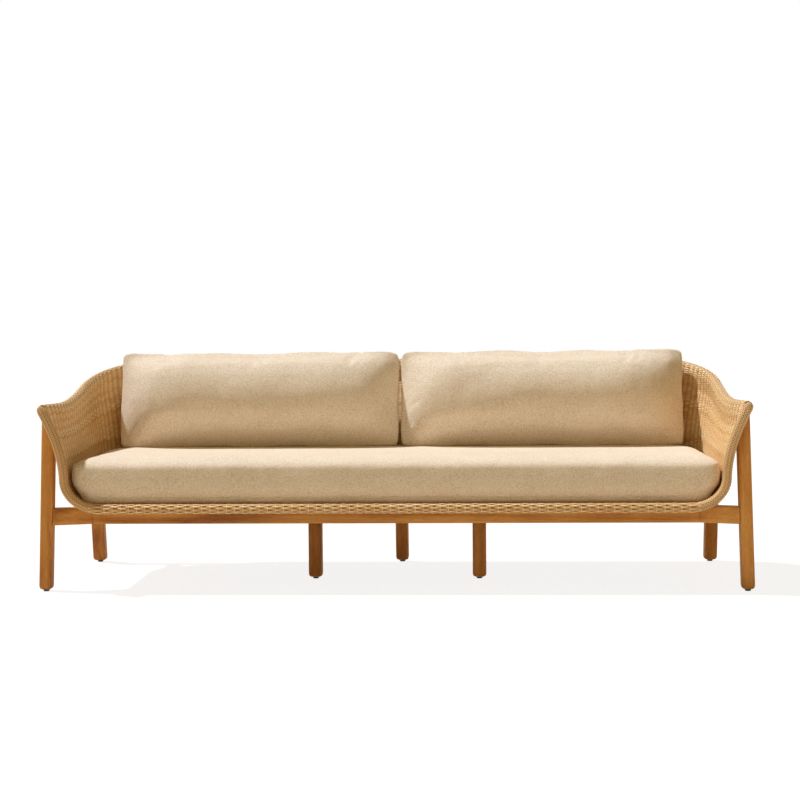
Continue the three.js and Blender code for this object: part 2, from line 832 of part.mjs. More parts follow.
// Aluminium tubes that carry the pan on the rails
const seatTubeBottom = lowRailTop + gap;
const seatTubeTop = frontRailTop;
function seatTube(x) {
  const height = seatTubeTop - seatTubeBottom;
  const outline = new THREE.Shape([
    [-seatTubeWidth / 2, 0], [seatTubeWidth / 2, 0],
    [seatTubeWidth / 2, height], [-seatTubeWidth / 2, height],
  ].map(([across, up]) => new THREE.Vector2(across, up)));
  const inner = seatTubeWidth / 2 - seatTubeWall;
  outline.holes.push(new THREE.Path([
    [-inner, seatTubeWall], [-inner, height - seatTubeWall],
    [inner, height - seatTubeWall], [inner, seatTubeWall],
  ].map(([across, up]) => new THREE.Vector2(across, up))));
  const length = rearRailDepth - frontRailBack - gap;
  const geometry = new THREE.ExtrudeGeometry(outline, { depth: length, bevelEnabled: false });
  geometry.rotateX(Math.PI / 2);
  geometry.translate(x, frontRailBack + gap + length, seatTubeBottom);
  return geometry;
}
for (let index = 0; index < seatTubeCount; index += 1) {
  const x = (index - (seatTubeCount - 1) / 2) * seatTubeSpacing;
  addPiece(`seat_tube_${index + 1}`, seatTube(x), aluminium);
}

// Seat cushion: its sides follow the inside of the shell, and its top is crowned
const seatBottom = panHeight + skinThickness / 2 + gap;
function seatRow({ down, inset, frontInset, height }) {
  const front = seatFrontDepth + frontInset;
  const radius = seatFrontCornerRadius;
  const start = front + radius;
  const offset = skinThickness / 2 + seatClearance;
  const half = stationsAlong(start).map(({ alongShell }) => {
    const point = shellPoint(alongShell, down, start);
    const inward = inwardAt(alongShell, down, start);
    point.addScaledVector(inward, offset);
    const flat = new THREE.Vector2(inward.x, inward.y).normalize();
    const drawnIn = inset * (1 - seatBackRollCutShare * blendOf(alongShell));
    point.x += flat.x * drawnIn;
    point.y += flat.y * drawnIn;
    if (height !== undefined) {
      point.z = height;
    }
    return point;
  });
  const first = half[0];
  const arc = [];
  for (let step = seatCornerSteps; step >= 1; step -= 1) {
    const angle = step / seatCornerSteps * Math.PI / 2;
    arc.push(new THREE.Vector3(
      first.x - radius * (1 - Math.cos(angle)),
      first.y - radius * Math.sin(angle),
      first.z,
    ));
  }
  return [...arc, ...half];
}

function seatCushion() {
  const rows = [
    { down: 2, inset: 0, frontInset: seatUndercut, height: seatBottom },
    ...seatRowShares.map(({ down, side, front, crown }) => ({
      down,
      inset: seatRoll * side,
      frontInset: seatRoll * front,
      height: crown === undefined ? undefined : seatEdgeTop + seatCrownRise * crown,
    })),
  ].map(seatRow);
  const half = rows[0].length;
  const points = rows.flatMap((row) => [...row, ...[...row].reverse().map(mirrored)]);
  const ring = 2 * half;
  const faces = [];
  for (let row = 0; row < rows.length - 1; row += 1) {
    for (let step = 0; step < ring; step += 1) {
      const here = row * ring + step;
      const next = row * ring + (step + 1) % ring;
      faces.push(here, next, next + ring, here, next + ring, here + ring);
    }
  }
  const top = (rows.length - 1) * ring;
  for (let step = 0; step < half - 1; step += 1) {
    const other = ring - 1 - step;
    faces.push(step, other, other - 1, step, other - 1, step + 1);
    faces.push(top + step, top + step + 1, top + other - 1);
    faces.push(top + step, top + other - 1, top + other);
  }
  return bodyFrom(points, faces);
}
addPiece('seat_cushion', seatCushion(), fabric);

// Back cushions: crowned on both faces, with sides that pull in between the corners
function spread(index, count) {
  return Math.sin((index / count * 2 - 1) * Math.PI / 2);
}

function backCushion(centreX) {
  const halfWidth = backCushionWidth / 2;
  const halfHeight = backCushionHeight / 2;
  const points = [];
  const indexOf = [[], []];
  const faces = [];
  for (let row = 0; row <= cushionRows; row += 1) {
    for (let column = 0; column <= cushionColumns; column += 1) {
      const across = spread(column, cushionColumns);
      const up = spread(row, cushionRows);
      const full = ((1 - Math.abs(across) ** cushionWidthPower)
        * (1 - Math.abs(up) ** cushionHeightPower)) ** cushionFacePower;
      const corner = backCushionCornerInset
        * Math.abs(across) ** cornerWidthPower * Math.abs(up) ** cornerHeightPower;
      const x = across * (halfWidth - corner - backCushionSidePull * (1 - up ** 2));
      const z = up * (halfHeight - corner - backCushionTopPull * (1 - across ** 2));
      const edge = row === 0 || row === cushionRows || column === 0 || column === cushionColumns;
      const sides = edge ? [0] : [-1, 1];
      sides.forEach((side) => {
        points.push(new THREE.Vector3(x, side * full * backCushionThickness / 2, z));
      });
      const firstIndex = points.length - sides.length;
      indexOf[0].push(firstIndex);
      indexOf[1].push(points.length - 1);
    }
  }
  const at = (face, row, column) => indexOf[face][row * (cushionColumns + 1) + column];
  for (let row = 0; row < cushionRows; row += 1) {
    for (let column = 0; column < cushionColumns; column += 1) {
      for (const face of [0, 1]) {
        const corners = [
          at(face, row, column), at(face, row, column + 1),
          at(face, row + 1, column + 1), at(face, row + 1, column),
        ];
        const ordered = face === 0 ? corners : [...corners].reverse();
        faces.push(ordered[0], ordered[1], ordered[2], ordered[0], ordered[2], ordered[3]);
      }
    }
  }
  const geometry = bodyFrom(points, faces);
  geometry.rotateX(-backCushionLean);
  geometry.computeBoundingBox();
  geometry.translate(centreX, backCushionDepth, seatCrownTop + gap - geometry.boundingBox.min.z);
  return geometry;
}
const backCushionX = (backCushionWidth + backCushionSplit) / 2;
addPiece('back_cushion_left', backCushion(-backCushionX), fabric);
addPiece('back_cushion_right', backCushion(backCushionX), fabric);

export default sofa;
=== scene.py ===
import math

import bmesh
import bpy
import numpy as np
from mathutils import Matrix, Vector, noise
from mathutils.bvhtree import BVHTree


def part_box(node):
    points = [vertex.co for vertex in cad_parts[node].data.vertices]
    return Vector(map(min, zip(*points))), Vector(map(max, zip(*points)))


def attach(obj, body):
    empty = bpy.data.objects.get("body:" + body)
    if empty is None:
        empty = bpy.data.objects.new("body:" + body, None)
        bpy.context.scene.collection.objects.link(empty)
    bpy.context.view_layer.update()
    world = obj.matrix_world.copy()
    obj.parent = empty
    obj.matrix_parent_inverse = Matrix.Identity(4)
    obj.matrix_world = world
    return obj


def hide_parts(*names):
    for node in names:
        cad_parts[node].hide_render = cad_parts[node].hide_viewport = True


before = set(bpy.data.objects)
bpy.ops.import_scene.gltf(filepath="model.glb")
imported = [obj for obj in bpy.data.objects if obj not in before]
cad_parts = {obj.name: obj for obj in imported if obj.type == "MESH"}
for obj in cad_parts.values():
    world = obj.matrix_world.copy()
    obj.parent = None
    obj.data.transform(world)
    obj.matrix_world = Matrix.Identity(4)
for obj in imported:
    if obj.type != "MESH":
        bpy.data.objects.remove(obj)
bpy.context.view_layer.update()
scene = bpy.context.scene
print("frame loaded:", len(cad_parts), "nodes")


# sockets that add, multiply and so on as Python expressions
class Signal:
    def __init__(self, graph, socket):
        self.graph = graph
        self.socket = socket

    def maths(self, operation, *values):
        return self.graph.make("ShaderNodeMath", {"operation": operation}, list(values))[0]

    def __add__(self, other):
        return self.maths("ADD", self, other)

    def __sub__(self, other):
        return self.maths("SUBTRACT", self, other)

    def __rsub__(self, other):
        return self.maths("SUBTRACT", other, self)

    def __mul__(self, other):
        return self.maths("MULTIPLY", self, other)

    __radd__ = __add__
    __rmul__ = __mul__

    def clamped(self, low, high):
        return self.maths("MINIMUM", self.maths("MAXIMUM", self, low), high)

    def sine(self):
        return self.maths("SINE", self)


# a node whose outputs come as signals
class Made:
    def __init__(self, graph, node):
        self.graph = graph
        self.node = node

    def __getitem__(self, key):
        return Signal(self.graph, self.node.outputs[key])


# a node tree, with one method that adds any node
class Graph:
    def __init__(self, tree):
        self.tree = tree

    def make(self, kind, settings=None, values=()):
        node = self.tree.nodes.new(kind)
        for name, value in (settings or {}).items():
            if name == "stops":  # a ramp's stops: position and colour
                ramp = node.color_ramp.elements
                while len(ramp) < len(value):
                    ramp.new(0.5)
                for stop, (place, colour) in zip(ramp, value):
                    stop.position = place
                    stop.color = (*colour, 1)
            else:
                setattr(node, name, value)
        pairs = values.items() if isinstance(values, dict) else enumerate(values)
        for key, value in pairs:
            self.feed(node.inputs[key], value)
        return Made(self, node)

    def feed(self, socket, value):
        if isinstance(value, Signal):
            self.tree.links.new(value.socket, socket)
        elif isinstance(value, tuple) and len(value) == 3 and socket.type == "RGBA":
            socket.default_value = (*value, 1)
        else:
            socket.default_value = value

    def colourMix(self, factor, first, second):
        return self.make("ShaderNodeMix", {"data_type": "RGBA"},
                         {0: factor, 6: first, 7: second})[2]

    def vector(self, operation, *values):
        return self.make("ShaderNodeVectorMath", {"operation": operation}, list(values))[0]

    def noise(self, place, scale, detail=3.0, roughness=0.5):
        values = {"Vector": place, "Scale": scale, "Detail": detail, "Roughness": roughness}
        return self.make("ShaderNodeTexNoise", None, values)[0]

    def ramp(self, factor, *stops):
        return self.make("ShaderNodeValToRGB", {"stops": stops}, {0: factor})[0]

    def bump(self, height, distance):
        return self.make("ShaderNodeBump", None, {"Height": height, "Distance": distance})[0]

    def attribute(self, name):
        return self.make("ShaderNodeAttribute", {"attribute_name": name})["Fac"]

    def objectPlace(self):
        return self.make("ShaderNodeTexCoord")["Object"]

    def ranged(self, value, fromLow, fromHigh, low, high):
        return self.make("ShaderNodeMapRange", None, [value, fromLow, fromHigh, low, high])[0]


def newMaterial(name):
    material = bpy.data.materials.new(name)
    material.use_nodes = True
    graph = Graph(material.node_tree)
    shader = material.node_tree.nodes["Principled BSDF"]
    return material, graph, shader


def dress(graph, shader, **values):  # a value or a signal for each socket named
    for name, value in values.items():
        graph.feed(shader.inputs[name.replace("_", " ")], value)


def linear(red, green, blue):  # a colour as read off a screen, 0 to 255
    shares = [channel / 255 for channel in (red, green, blue)]
    return tuple(s / 12.92 if s <= 0.04045 else ((s + 0.055) / 1.055) ** 2.4 for s in shares)


def toned(graph, tone, look):  # dark, middle and pale, each at its own stop
    names = ("dark", "middle", "pale")
    return graph.ramp(tone, *[(stop, look[name]) for stop, name in zip(look["stops"], names)])


# finishes: each noise is given as scale, detail and roughness
teakLook = {
    "pale": linear(222, 161, 82), "middle": linear(195, 131, 55), "dark": linear(150, 88, 30),
    "stops": (0.34, 0.5, 0.66), "pore": linear(118, 66, 24),
    "grainStretch": 0.07,  # how little the grain changes along the piece
    "bend": (9.0, 2.0), "bendBy": (0.05, 0.03, 0.04), "rings": (26.0, 5.0, 0.62),
    "fibres": (340.0, 3.0, 0.7), "pores": (620.0, 2.0), "broad": (2.3, 2.0),
    "ringShare": 0.75, "fibreShare": 0.25, "broadShare": 0.5,
    "poreRange": (0.60, 0.72), "poreShade": 0.45, "fibreHeight": 0.5, "poreDepth": 0.00025,
    "roughness": 0.62, "paleGloss": 0.16, "specular": 0.35,
}


def teakMaterial(axis):
    look = teakLook
    material, graph, shader = newMaterial("teak_along_" + axis)
    place = graph.objectPlace()
    stretch = [1.0, 1.0, 1.0]
    stretch["xyz".index(axis)] = look["grainStretch"]
    grainPlace = graph.vector("MULTIPLY", place, tuple(stretch))
    bend = graph.noise(grainPlace, *look["bend"])
    bends = graph.make("ShaderNodeCombineXYZ", None, [bend * share for share in look["bendBy"]])
    rings = graph.noise(graph.vector("ADD", grainPlace, bends[0]), *look["rings"])
    fibres = graph.noise(grainPlace, *look["fibres"])
    pores = graph.ranged(graph.noise(grainPlace, *look["pores"]), *look["poreRange"], 0.0, 1.0)
    broad = graph.noise(place, *look["broad"])
    tone = (rings * look["ringShare"] + fibres * look["fibreShare"]
            + (broad - 0.5) * look["broadShare"]).clamped(0.0, 1.0)
    colour = graph.colourMix(pores * look["poreShade"], toned(graph, tone, look), look["pore"])
    relief = graph.bump(fibres * look["fibreHeight"] - pores, look["poreDepth"])
    dress(graph, shader, Base_Color=colour, Roughness=look["roughness"] - tone * look["paleGloss"],
          Normal=relief, Specular_IOR_Level=look["specular"])
    return material


rattanLook = {
    "pale": linear(255, 228, 182), "middle": linear(245, 203, 142), "dark": linear(208, 147, 78),
    # the dark colour below is painted shade, laid on where strands sink under their neighbours,
    # and on the stakes half as much
    "stops": (0.22, 0.5, 0.78), "recess": linear(88, 44, 14),
    "recessRange": (-0.7, 0.7), "recessShade": 0.72,
    "alongStrand": 7.0, "acrossRows": 23.7,  # how fast the patches change
    "patches": (1.0, 2.0, 0.6), "fibres": (900.0, 2.0, 0.6), "broad": (3.0, 2.0),
    "strandShare": 0.26, "patchShare": 0.48, "fibreShare": 0.14, "broadShare": 0.30,
    "darker": 0.1, "patchHeight": 0.5, "depth": 0.00035,
    "roughness": 0.42, "patchRoughness": 0.22, "specular": 0.45,
}


def rattanMaterial():
    look = rattanLook
    material, graph, shader = newMaterial("rattan")
    row, run, rise = (graph.attribute(name) for name in ("row", "run", "rise"))
    place = graph.objectPlace()
    strand = graph.make("ShaderNodeTexWhiteNoise", {"noise_dimensions": "1D"}, {"W": row})[0]
    along = graph.make("ShaderNodeCombineXYZ", None,
                       [run * look["alongStrand"], row * look["acrossRows"], 0.0])[0]
    patches = graph.noise(along, *look["patches"])
    fibres = graph.noise(place, *look["fibres"])
    broad = graph.noise(place, *look["broad"])
    tone = (strand * look["strandShare"] + patches * look["patchShare"]
            + fibres * look["fibreShare"] + broad * look["broadShare"]
            - look["darker"]).clamped(0.0, 1.0)
    # painted shade: the colour darkens where a strand's face sinks below the weave, and on the
    # stakes (rise 0) half as much
    paintedShadeMask = graph.ranged(rise, *look["recessRange"], look["recessShade"], 0.0)
    colour = graph.colourMix(paintedShadeMask, toned(graph, tone, look), look["recess"])
    relief = graph.bump(fibres + patches * look["patchHeight"], look["depth"])
    dress(graph, shader, Base_Color=colour,
          Roughness=look["roughness"] + patches * look["patchRoughness"], Normal=relief,
          Specular_IOR_Level=look["specular"])
    return material


coreLook = {
    "pale": linear(122, 84, 48), "dark": linear(78, 50, 27), "darkStop": 0.3, "paleStop": 0.7,
    "grain": (240.0, 3.0), "depth": 0.0006, "roughness": 0.72, "paleRoughness": 0.15,
}


def coreMaterial():
    look = coreLook
    material, graph, shader = newMaterial("rattan_core")
    tone = graph.noise(graph.objectPlace(), *look["grain"])
    colour = graph.ramp(tone, (look["darkStop"], look["dark"]), (look["paleStop"], look["pale"]))
    dress(graph, shader, Base_Color=colour,
          Roughness=look["roughness"] + tone * look["paleRoughness"],
          Normal=graph.bump(tone, look["depth"]))
    return material


fabricLook = {
    "pale": linear(248, 238, 223), "middle": linear(235, 220, 199), "dark": linear(188, 163, 132),
    "stops": (0.25, 0.55, 0.8),
    "thread": 0.0066, "diagonal": 0.7,  # width of one twill rib, and how the ribs cross
    "wobble": 2.4, "warp": 0.15, "weft": 0.11,
    "slub": (60.0, 3.0, 0.6), "fine": (210.0, 3.0, 0.85), "broad": (5.0, 3.0, 0.55),
    "clothShare": 0.34, "fineShare": 1.10, "slubShare": 0.12, "broadShare": 0.12,
    "darker": 0.25, "fineHeight": 0.45, "depth": 0.0013,
    "roughness": 0.86, "fineRoughness": 0.1, "specular": 0.2,
    "sheen": 0.12, "sheenRoughness": 0.5,
}


def fabricMaterial():
    look = fabricLook
    material, graph, shader = newMaterial("sand_canvas")
    place = graph.objectPlace()
    slub = graph.noise(place, *look["slub"])
    split = graph.make("ShaderNodeSeparateXYZ", None, [place])
    x, y, z = split["X"], split["Y"], split["Z"]
    turn = 2 * math.pi / look["thread"]
    wobble = slub * look["wobble"]
    warp = ((x + y + z) * turn * look["diagonal"] + wobble).sine()
    weft = ((x - y - z) * turn * look["diagonal"] + wobble).sine()
    cloth = (warp * look["warp"] + weft * look["weft"]).clamped(-1.0, 1.0) * 0.5 + 0.5
    fine = graph.noise(place, *look["fine"])
    broad = graph.noise(place, *look["broad"])
    tone = (cloth * look["clothShare"] + fine * look["fineShare"] + slub * look["slubShare"]
            + (broad - 0.5) * look["broadShare"] - look["darker"]).clamped(0.0, 1.0)
    relief = graph.bump(cloth + fine * look["fineHeight"], look["depth"])
    dress(graph, shader, Base_Color=toned(graph, tone, look),
          Roughness=look["roughness"] + fine * look["fineRoughness"], Normal=relief,
          Specular_IOR_Level=look["specular"], Sheen_Weight=look["sheen"],
          Sheen_Roughness=look["sheenRoughness"])
    return material


drawnLook = {  # aluminium, steel and black plastic are all drawn or pressed smooth
    "brushed": (700.0, 3.0, 0.6), "drawnAlong": (1.0, 0.1, 1.0), "blots": (14.0, 3.0),
    "blotShare": 0.7, "brushedShare": 0.3, "blotRoughness": 0.15, "depth": 0.00008,
}
drawnFinishes = {  # pale, dark, roughness, metallic
    "aluminium": (linear(196, 198, 200), linear(160, 162, 165), 0.34, 1.0),
    "steel": (linear(172, 172, 170), linear(120, 120, 118), 0.3, 1.0),
    "black_plastic": (linear(36, 33, 31), linear(22, 20, 19), 0.5, 0.0),
}


def drawnMaterial(name):
    look = drawnLook
    pale, dark, roughness, metallic = drawnFinishes[name]
    material, graph, shader = newMaterial(name)
    place = graph.objectPlace()
    stretched = graph.vector("MULTIPLY", place, look["drawnAlong"])
    brushed = graph.noise(stretched, *look["brushed"])
    blots = graph.noise(place, *look["blots"])
    share = blots * look["blotShare"] + brushed * look["brushedShare"]
    dress(graph, shader, Base_Color=graph.colourMix(share, dark, pale),
          Roughness=roughness + blots * look["blotRoughness"],
          Normal=graph.bump(brushed, look["depth"]), Metallic=metallic)
    return material


teakAlong = {axis: teakMaterial(axis) for axis in "xyz"}
rattan = rattanMaterial()
core = coreMaterial()
canvas = fabricMaterial()
drawn = {name: drawnMaterial(name) for name in drawnFinishes}
print("finishes made")


# the shell's surface, as in the part's source, in metres
shell = {
    "panHeight": 0.2923, "halfWidth": 1.163, "armRim": 0.632, "backRim": 0.764,
    "tipDepth": -0.062, "springDepth": 0.445, "cornerRadius": 0.320,
    "riseStart": 0.070, "riseLength": 0.800, "tipFlare": 0.035,
    "armWallInset": 0.037, "backWallInset": 0.115, "armCornerRun": 0.120, "backCornerRun": 0.150,
    "armCornerRise": 0.100, "backCornerRise": 0.110, "armWallPower": 1.8, "backWallPower": 1.3,
    "tipFlarePower": 4.6, "cornerPower": 0.87, "lipLean": 0.017, "lipLength": 0.048,
    "lipDrop": 0.004, "border": 0.016, "stepPower": 1.5,
    "ground": -0.3515,  # from the front legs' plane to the part's own middle
}


def eased(value, low, high):
    share = np.clip((value - low) / (high - low), 0, 1)
    return share * share * (3 - 2 * share)


# along: 0 to 1 is the arm, 1 to 2 the round corner
# down: 0 to 1 is the wall, 1 to 2 the bend into the pan
def shellPoint(along, down):
    along, down = np.broadcast_arrays(np.asarray(along, float), np.asarray(down, float))
    blend = eased(along, 1, 2)

    def between(name):
        return shell["arm" + name] * (1 - blend) + shell["back" + name] * blend

    tip, spring, radius = shell["tipDepth"], shell["springDepth"], shell["cornerRadius"]
    armDepth = tip + (spring - tip) * np.minimum(along, 1) ** shell["stepPower"]
    way = np.minimum(armDepth, spring) - shell["riseStart"]
    way = way + radius * np.maximum(along - 1, 0) * np.pi / 2
    rise = eased(way, 0, shell["riseLength"])
    rim = shell["armRim"] * (1 - rise) + shell["backRim"] * rise
    foot = shell["panHeight"] + between("CornerRise")
    up = np.maximum(1 - down, 0)
    turn = np.maximum(down - 1, 0) * np.pi / 2
    inset = between("WallInset") * (1 - up ** between("WallPower"))
    inset = inset + between("CornerRun") * (1 - np.cos(turn))
    low = shell["panHeight"] + between("CornerRise") * (1 - np.sin(turn))
    height = np.where(down < 1, foot + (rim - foot) * up, low)
    angle = np.clip(along - 1, 0, 1) * np.pi / 2
    reach = radius - inset
    power = shell["cornerPower"]
    cornerX = shell["halfWidth"] - radius + reach * np.maximum(np.cos(angle), 0) ** power
    cornerY = spring + reach * np.sin(angle) ** power
    front = np.maximum((spring - armDepth) / (spring - tip), 0)
    flare = shell["tipFlare"] * front ** shell["tipFlarePower"] * up ** shell["armWallPower"]
    lowShare = 1 - (height - shell["panHeight"]) / (rim - shell["panHeight"])
    fade = 1 - eased(armDepth, tip + shell["lipLength"], spring)
    armX = shell["halfWidth"] + flare - inset
    armY = armDepth + shell["lipLean"] * lowShare * fade
    onCorner = along > 1
    x = np.where(onCorner, cornerX, armX)
    y = np.where(onCorner, cornerY, armY) + shell["ground"]
    return np.stack([x, y, height], axis=-1)


wholeRound = 5  # right arm, its corner, the straight back, left corner, left arm


def skinPoint(around, down):
    around, down = np.broadcast_arrays(np.asarray(around, float), np.asarray(down, float))
    half = np.minimum(around, wholeRound - around)
    point = shellPoint(np.clip(half, 0, 2), down)
    straight = np.clip(half - 2, 0, 0.5) * 2
    side = np.where(around > wholeRound / 2, -1.0, 1.0)
    point[..., 0] *= (1 - straight) * side
    return point


def pointsFrom(x, y, z):  # each an array, or one number for all the points
    return np.stack(np.broadcast_arrays(x, y, z), axis=1)


tiny = 1e-9  # keeps a division by a length safe
step = 0.01  # how far apart the points for a normal lie, as a share of one stretch


def unit(vectors):
    return vectors / np.maximum(np.linalg.norm(vectors, axis=-1, keepdims=True), tiny)


def skinNormal(around, down):
    ahead = skinPoint(np.minimum(around + step, wholeRound), down)
    behind = skinPoint(np.maximum(around - step, 0), down)
    lower = skinPoint(around, np.minimum(down + step, 2))
    higher = skinPoint(around, np.maximum(down - step, 0))
    return unit(-np.cross(lower - higher, ahead - behind))


def lengths(points):  # the way along a line of points, from its start to each of them
    return np.concatenate([[0], np.cumsum(np.linalg.norm(np.diff(points, axis=0), axis=1))])


def valuesAt(places, run, values):  # a line's points or directions at given lengths along it
    return np.stack([np.interp(places, run, values[:, axis]) for axis in range(3)], axis=-1)


# strands: lines of points that Geometry Nodes turn into woven cane
class Strands:
    def __init__(self):
        self.points, self.outwards, self.lifts, self.sizes = [], [], [], []
        self.rows, self.runs, self.edges = [], [], []
        self.count = 0
        self.lines = 0

    def add(self, points, outwards, lifts=0.0, sizes=1.0, closed=False, row=None):
        number = len(points)
        self.points.append(points)
        self.outwards.append(outwards)
        self.lifts.append(np.broadcast_to(lifts, number))
        self.sizes.append(np.broadcast_to(sizes, number))
        self.rows.append(np.full(number, float(self.lines if row is None else row)))
        self.runs.append(lengths(points))
        index = np.arange(self.count, self.count + number)
        links = np.stack([index[:-1], index[1:]], axis=1)
        if closed:
            links = np.concatenate([links, [[index[-1], index[0]]]])
        self.edges.append(links)
        self.count += number
        self.lines += 1


def newObject(name, data):
    item = bpy.data.objects.new(name, data)
    scene.collection.objects.link(item)
    return item


def strandTree():
    tree = bpy.data.node_groups.new("wovenStrands", "GeometryNodeTree")
    sockets = tree.interface
    sockets.new_socket("Geometry", in_out="INPUT", socket_type="NodeSocketGeometry")
    for name in ("Strand width", "Strand thickness", "Lift height"):
        sockets.new_socket(name, in_out="INPUT", socket_type="NodeSocketFloat")
    sockets.new_socket("Finish", in_out="INPUT", socket_type="NodeSocketMaterial")
    sockets.new_socket("Geometry", in_out="OUTPUT", socket_type="NodeSocketGeometry")
    graph = Graph(tree)
    start = graph.make("NodeGroupInput")

    def stored(name, kind="FLOAT"):
        return graph.make("GeometryNodeInputNamedAttribute", {"data_type": kind},
                          {"Name": name})["Attribute"]

    outward = stored("outward", "FLOAT_VECTOR")
    lift = stored("lift")
    shift = graph.make("ShaderNodeVectorMath", {"operation": "SCALE"},
                       {"Vector": outward, "Scale": lift * start["Lift height"]})[0]
    moved = graph.make("GeometryNodeSetPosition", None,
                       {"Geometry": start["Geometry"], "Offset": shift})[0]
    line = graph.make("GeometryNodeMeshToCurve", None, {"Mesh": moved})[0]
    turned = graph.make("GeometryNodeSetCurveNormal", {"mode": "FREE"},
                        {"Curve": line, "Normal": outward})[0]
    profile = graph.make("GeometryNodeCurvePrimitiveQuadrilateral", {"mode": "RECTANGLE"},
                         {"Width": start["Strand thickness"], "Height": start["Strand width"]})[0]
    cane = graph.make("GeometryNodeCurveToMesh", None,
                      {"Curve": turned, "Profile Curve": profile, "Scale": stored("size"),
                       "Fill Caps": True})[0]
    normal = graph.make("GeometryNodeInputNormal")[0]
    dot = graph.make("ShaderNodeVectorMath", {"operation": "DOT_PRODUCT"}, [normal, outward])[1]
    # rise: how far each face of a strand stands out of the weave; the rattan finish paints shade
    # where it is low
    marked = graph.make("GeometryNodeStoreNamedAttribute",
                        {"data_type": "FLOAT", "domain": "POINT"},
                        {"Geometry": cane, "Name": "rise", "Value": dot * lift})[0]
    smooth = graph.make("GeometryNodeSetShadeSmooth", None, {"Geometry": marked})[0]
    real = graph.make("GeometryNodeRealizeInstances", None, {"Geometry": smooth})[0]
    finished = graph.make("GeometryNodeSetMaterial", None,
                          {"Geometry": real, "Material": start["Finish"]})[0]
    graph.make("NodeGroupOutput", None, {0: finished})
    return tree


strandNodes = strandTree()


def settle(piece):  # the evaluated result becomes the piece's plain mesh
    depsgraph = bpy.context.evaluated_depsgraph_get()
    mesh = bpy.data.meshes.new_from_object(piece.evaluated_get(depsgraph), depsgraph=depsgraph)
    piece.modifiers.clear()
    piece.data = mesh
    for name in ("outward", "lift", "size"):
        if name in mesh.attributes:
            mesh.attributes.remove(mesh.attributes[name])
    return piece


def weave(name, strands, size, finish=None):  # size: a strand's width, thickness and lift
    mesh = bpy.data.meshes.new(name)
    mesh.vertices.add(strands.count)
    mesh.vertices.foreach_set("co", np.concatenate(strands.points).ravel())
    edges = np.concatenate(strands.edges)
    mesh.edges.add(len(edges))
    mesh.edges.foreach_set("vertices", edges.ravel().astype(np.int32))
    for key, kind, values in (
        ("outward", "FLOAT_VECTOR", strands.outwards), ("lift", "FLOAT", strands.lifts),
        ("size", "FLOAT", strands.sizes), ("row", "FLOAT", strands.rows),
        ("run", "FLOAT", strands.runs),
    ):
        layer = mesh.attributes.new(key, kind, "POINT")
        layer.data.foreach_set("vector" if kind == "FLOAT_VECTOR" else "value",
                               np.concatenate(values).ravel())
    piece = newObject(name, mesh)
    modifier = piece.modifiers.new("weave", "NODES")
    modifier.node_group = strandNodes
    inputs = dict(zip(("Strand width", "Strand thickness", "Lift height"), size))
    inputs["Finish"] = finish or rattan
    for item in strandNodes.interface.items_tree:
        if item.in_out == "INPUT" and item.name in inputs:
            modifier[item.identifier] = inputs[item.name]
    settle(piece)
    mesh = piece.data
    mesh.calc_loop_triangles()
    print(name, len(mesh.loop_triangles), "triangles")
    return piece


# the woven wall
wallWeave = {
    "stakePitch": 0.028, "samples": 3, "wallRows": 49, "cornerRows": 35, "pieces": 3,
    "strand": (0.0050, 0.0021, 0.0024), "stake": (0.0070, 0.0022, 0.0), "twist": 0.18,
    "nominalPitch": 0.0050, "stakePoints": 27, "measurePoints": 6001,
    "rollIn": 0.0122, "rollRun": 0.075,  # how far the top swings in, and over what height
}

rimAround = np.linspace(0, wholeRound, wallWeave["measurePoints"])
rimLengths = lengths(skinPoint(rimAround, 0.0))
stakeCount = 2 * round(rimLengths[-1] / wallWeave["stakePitch"] / 2)
stakeAround = np.interp(np.linspace(0, rimLengths[-1], stakeCount + 1), rimLengths, rimAround)
fineCount = np.arange(stakeCount * wallWeave["samples"] + 1) / wallWeave["samples"]
fineAround = np.interp(fineCount, np.arange(stakeCount + 1), stakeAround)


def wallPoint(around, down):  # the skin, swung in at the top to pass the border's inner side
    points = skinPoint(around, down)
    below = skinPoint(around, 0.0)[..., 2] - points[..., 2]
    share = 1 - eased(below, 0, wallWeave["rollRun"])
    return points + skinNormal(around, down) * (share * wallWeave["rollIn"])[..., None]


def wallRows():  # each row's place down the wall, and half its height
    rows = []
    for top, count in ((0, wallWeave["wallRows"]), (1, wallWeave["cornerRows"])):
        rows += [(top + (index + 0.5) / count, 0.5 / count) for index in range(count)]
    return rows


def weaveWall():
    # each row is a twined pair: one strand before a stake, one behind, crossing between stakes
    pieces = []
    rows = wallRows()
    parts = np.array_split(np.arange(len(rows)), wallWeave["pieces"])
    for number, part in enumerate(parts, 1):
        strands = Strands()
        for index in part:
            down, half = rows[index]
            normals = skinNormal(fineAround, down)
            below = wallPoint(fineAround, down + half) - wallPoint(fineAround, down - half)
            pitch = np.linalg.norm(below, axis=1)
            for side in (1, -1):
                lifts = side * np.cos(np.pi * fineCount)
                twist = side * np.sin(np.pi * fineCount) * wallWeave["twist"]
                points = wallPoint(fineAround, down) + below * twist[:, None]
                strands.add(points, normals, lifts, pitch / wallWeave["nominalPitch"],
                            row=index + 0.5 * side)
        pieces.append(weave(f"wall_weavers_{number}", strands, wallWeave["strand"]))
    stakes = Strands()
    downs = np.linspace(0, 2, wallWeave["stakePoints"])
    for around in stakeAround[1:-1]:
        stakes.add(wallPoint(around, downs), skinNormal(around, downs))
    pieces.append(weave("wall_stakes", stakes, wallWeave["stake"]))
    return pieces


# the woven pan under the seat cushion
panWeave = {
    "stakePitch": 0.028, "samples": 3, "rowPitch": 0.0062, "strand": (0.0066, 0.0024, 0.0023),
    "tuck": 0.012, "backStrip": 0.02, "stakeTuck": 0.004, "stakePoints": 26, "edgePoints": 1200,
}


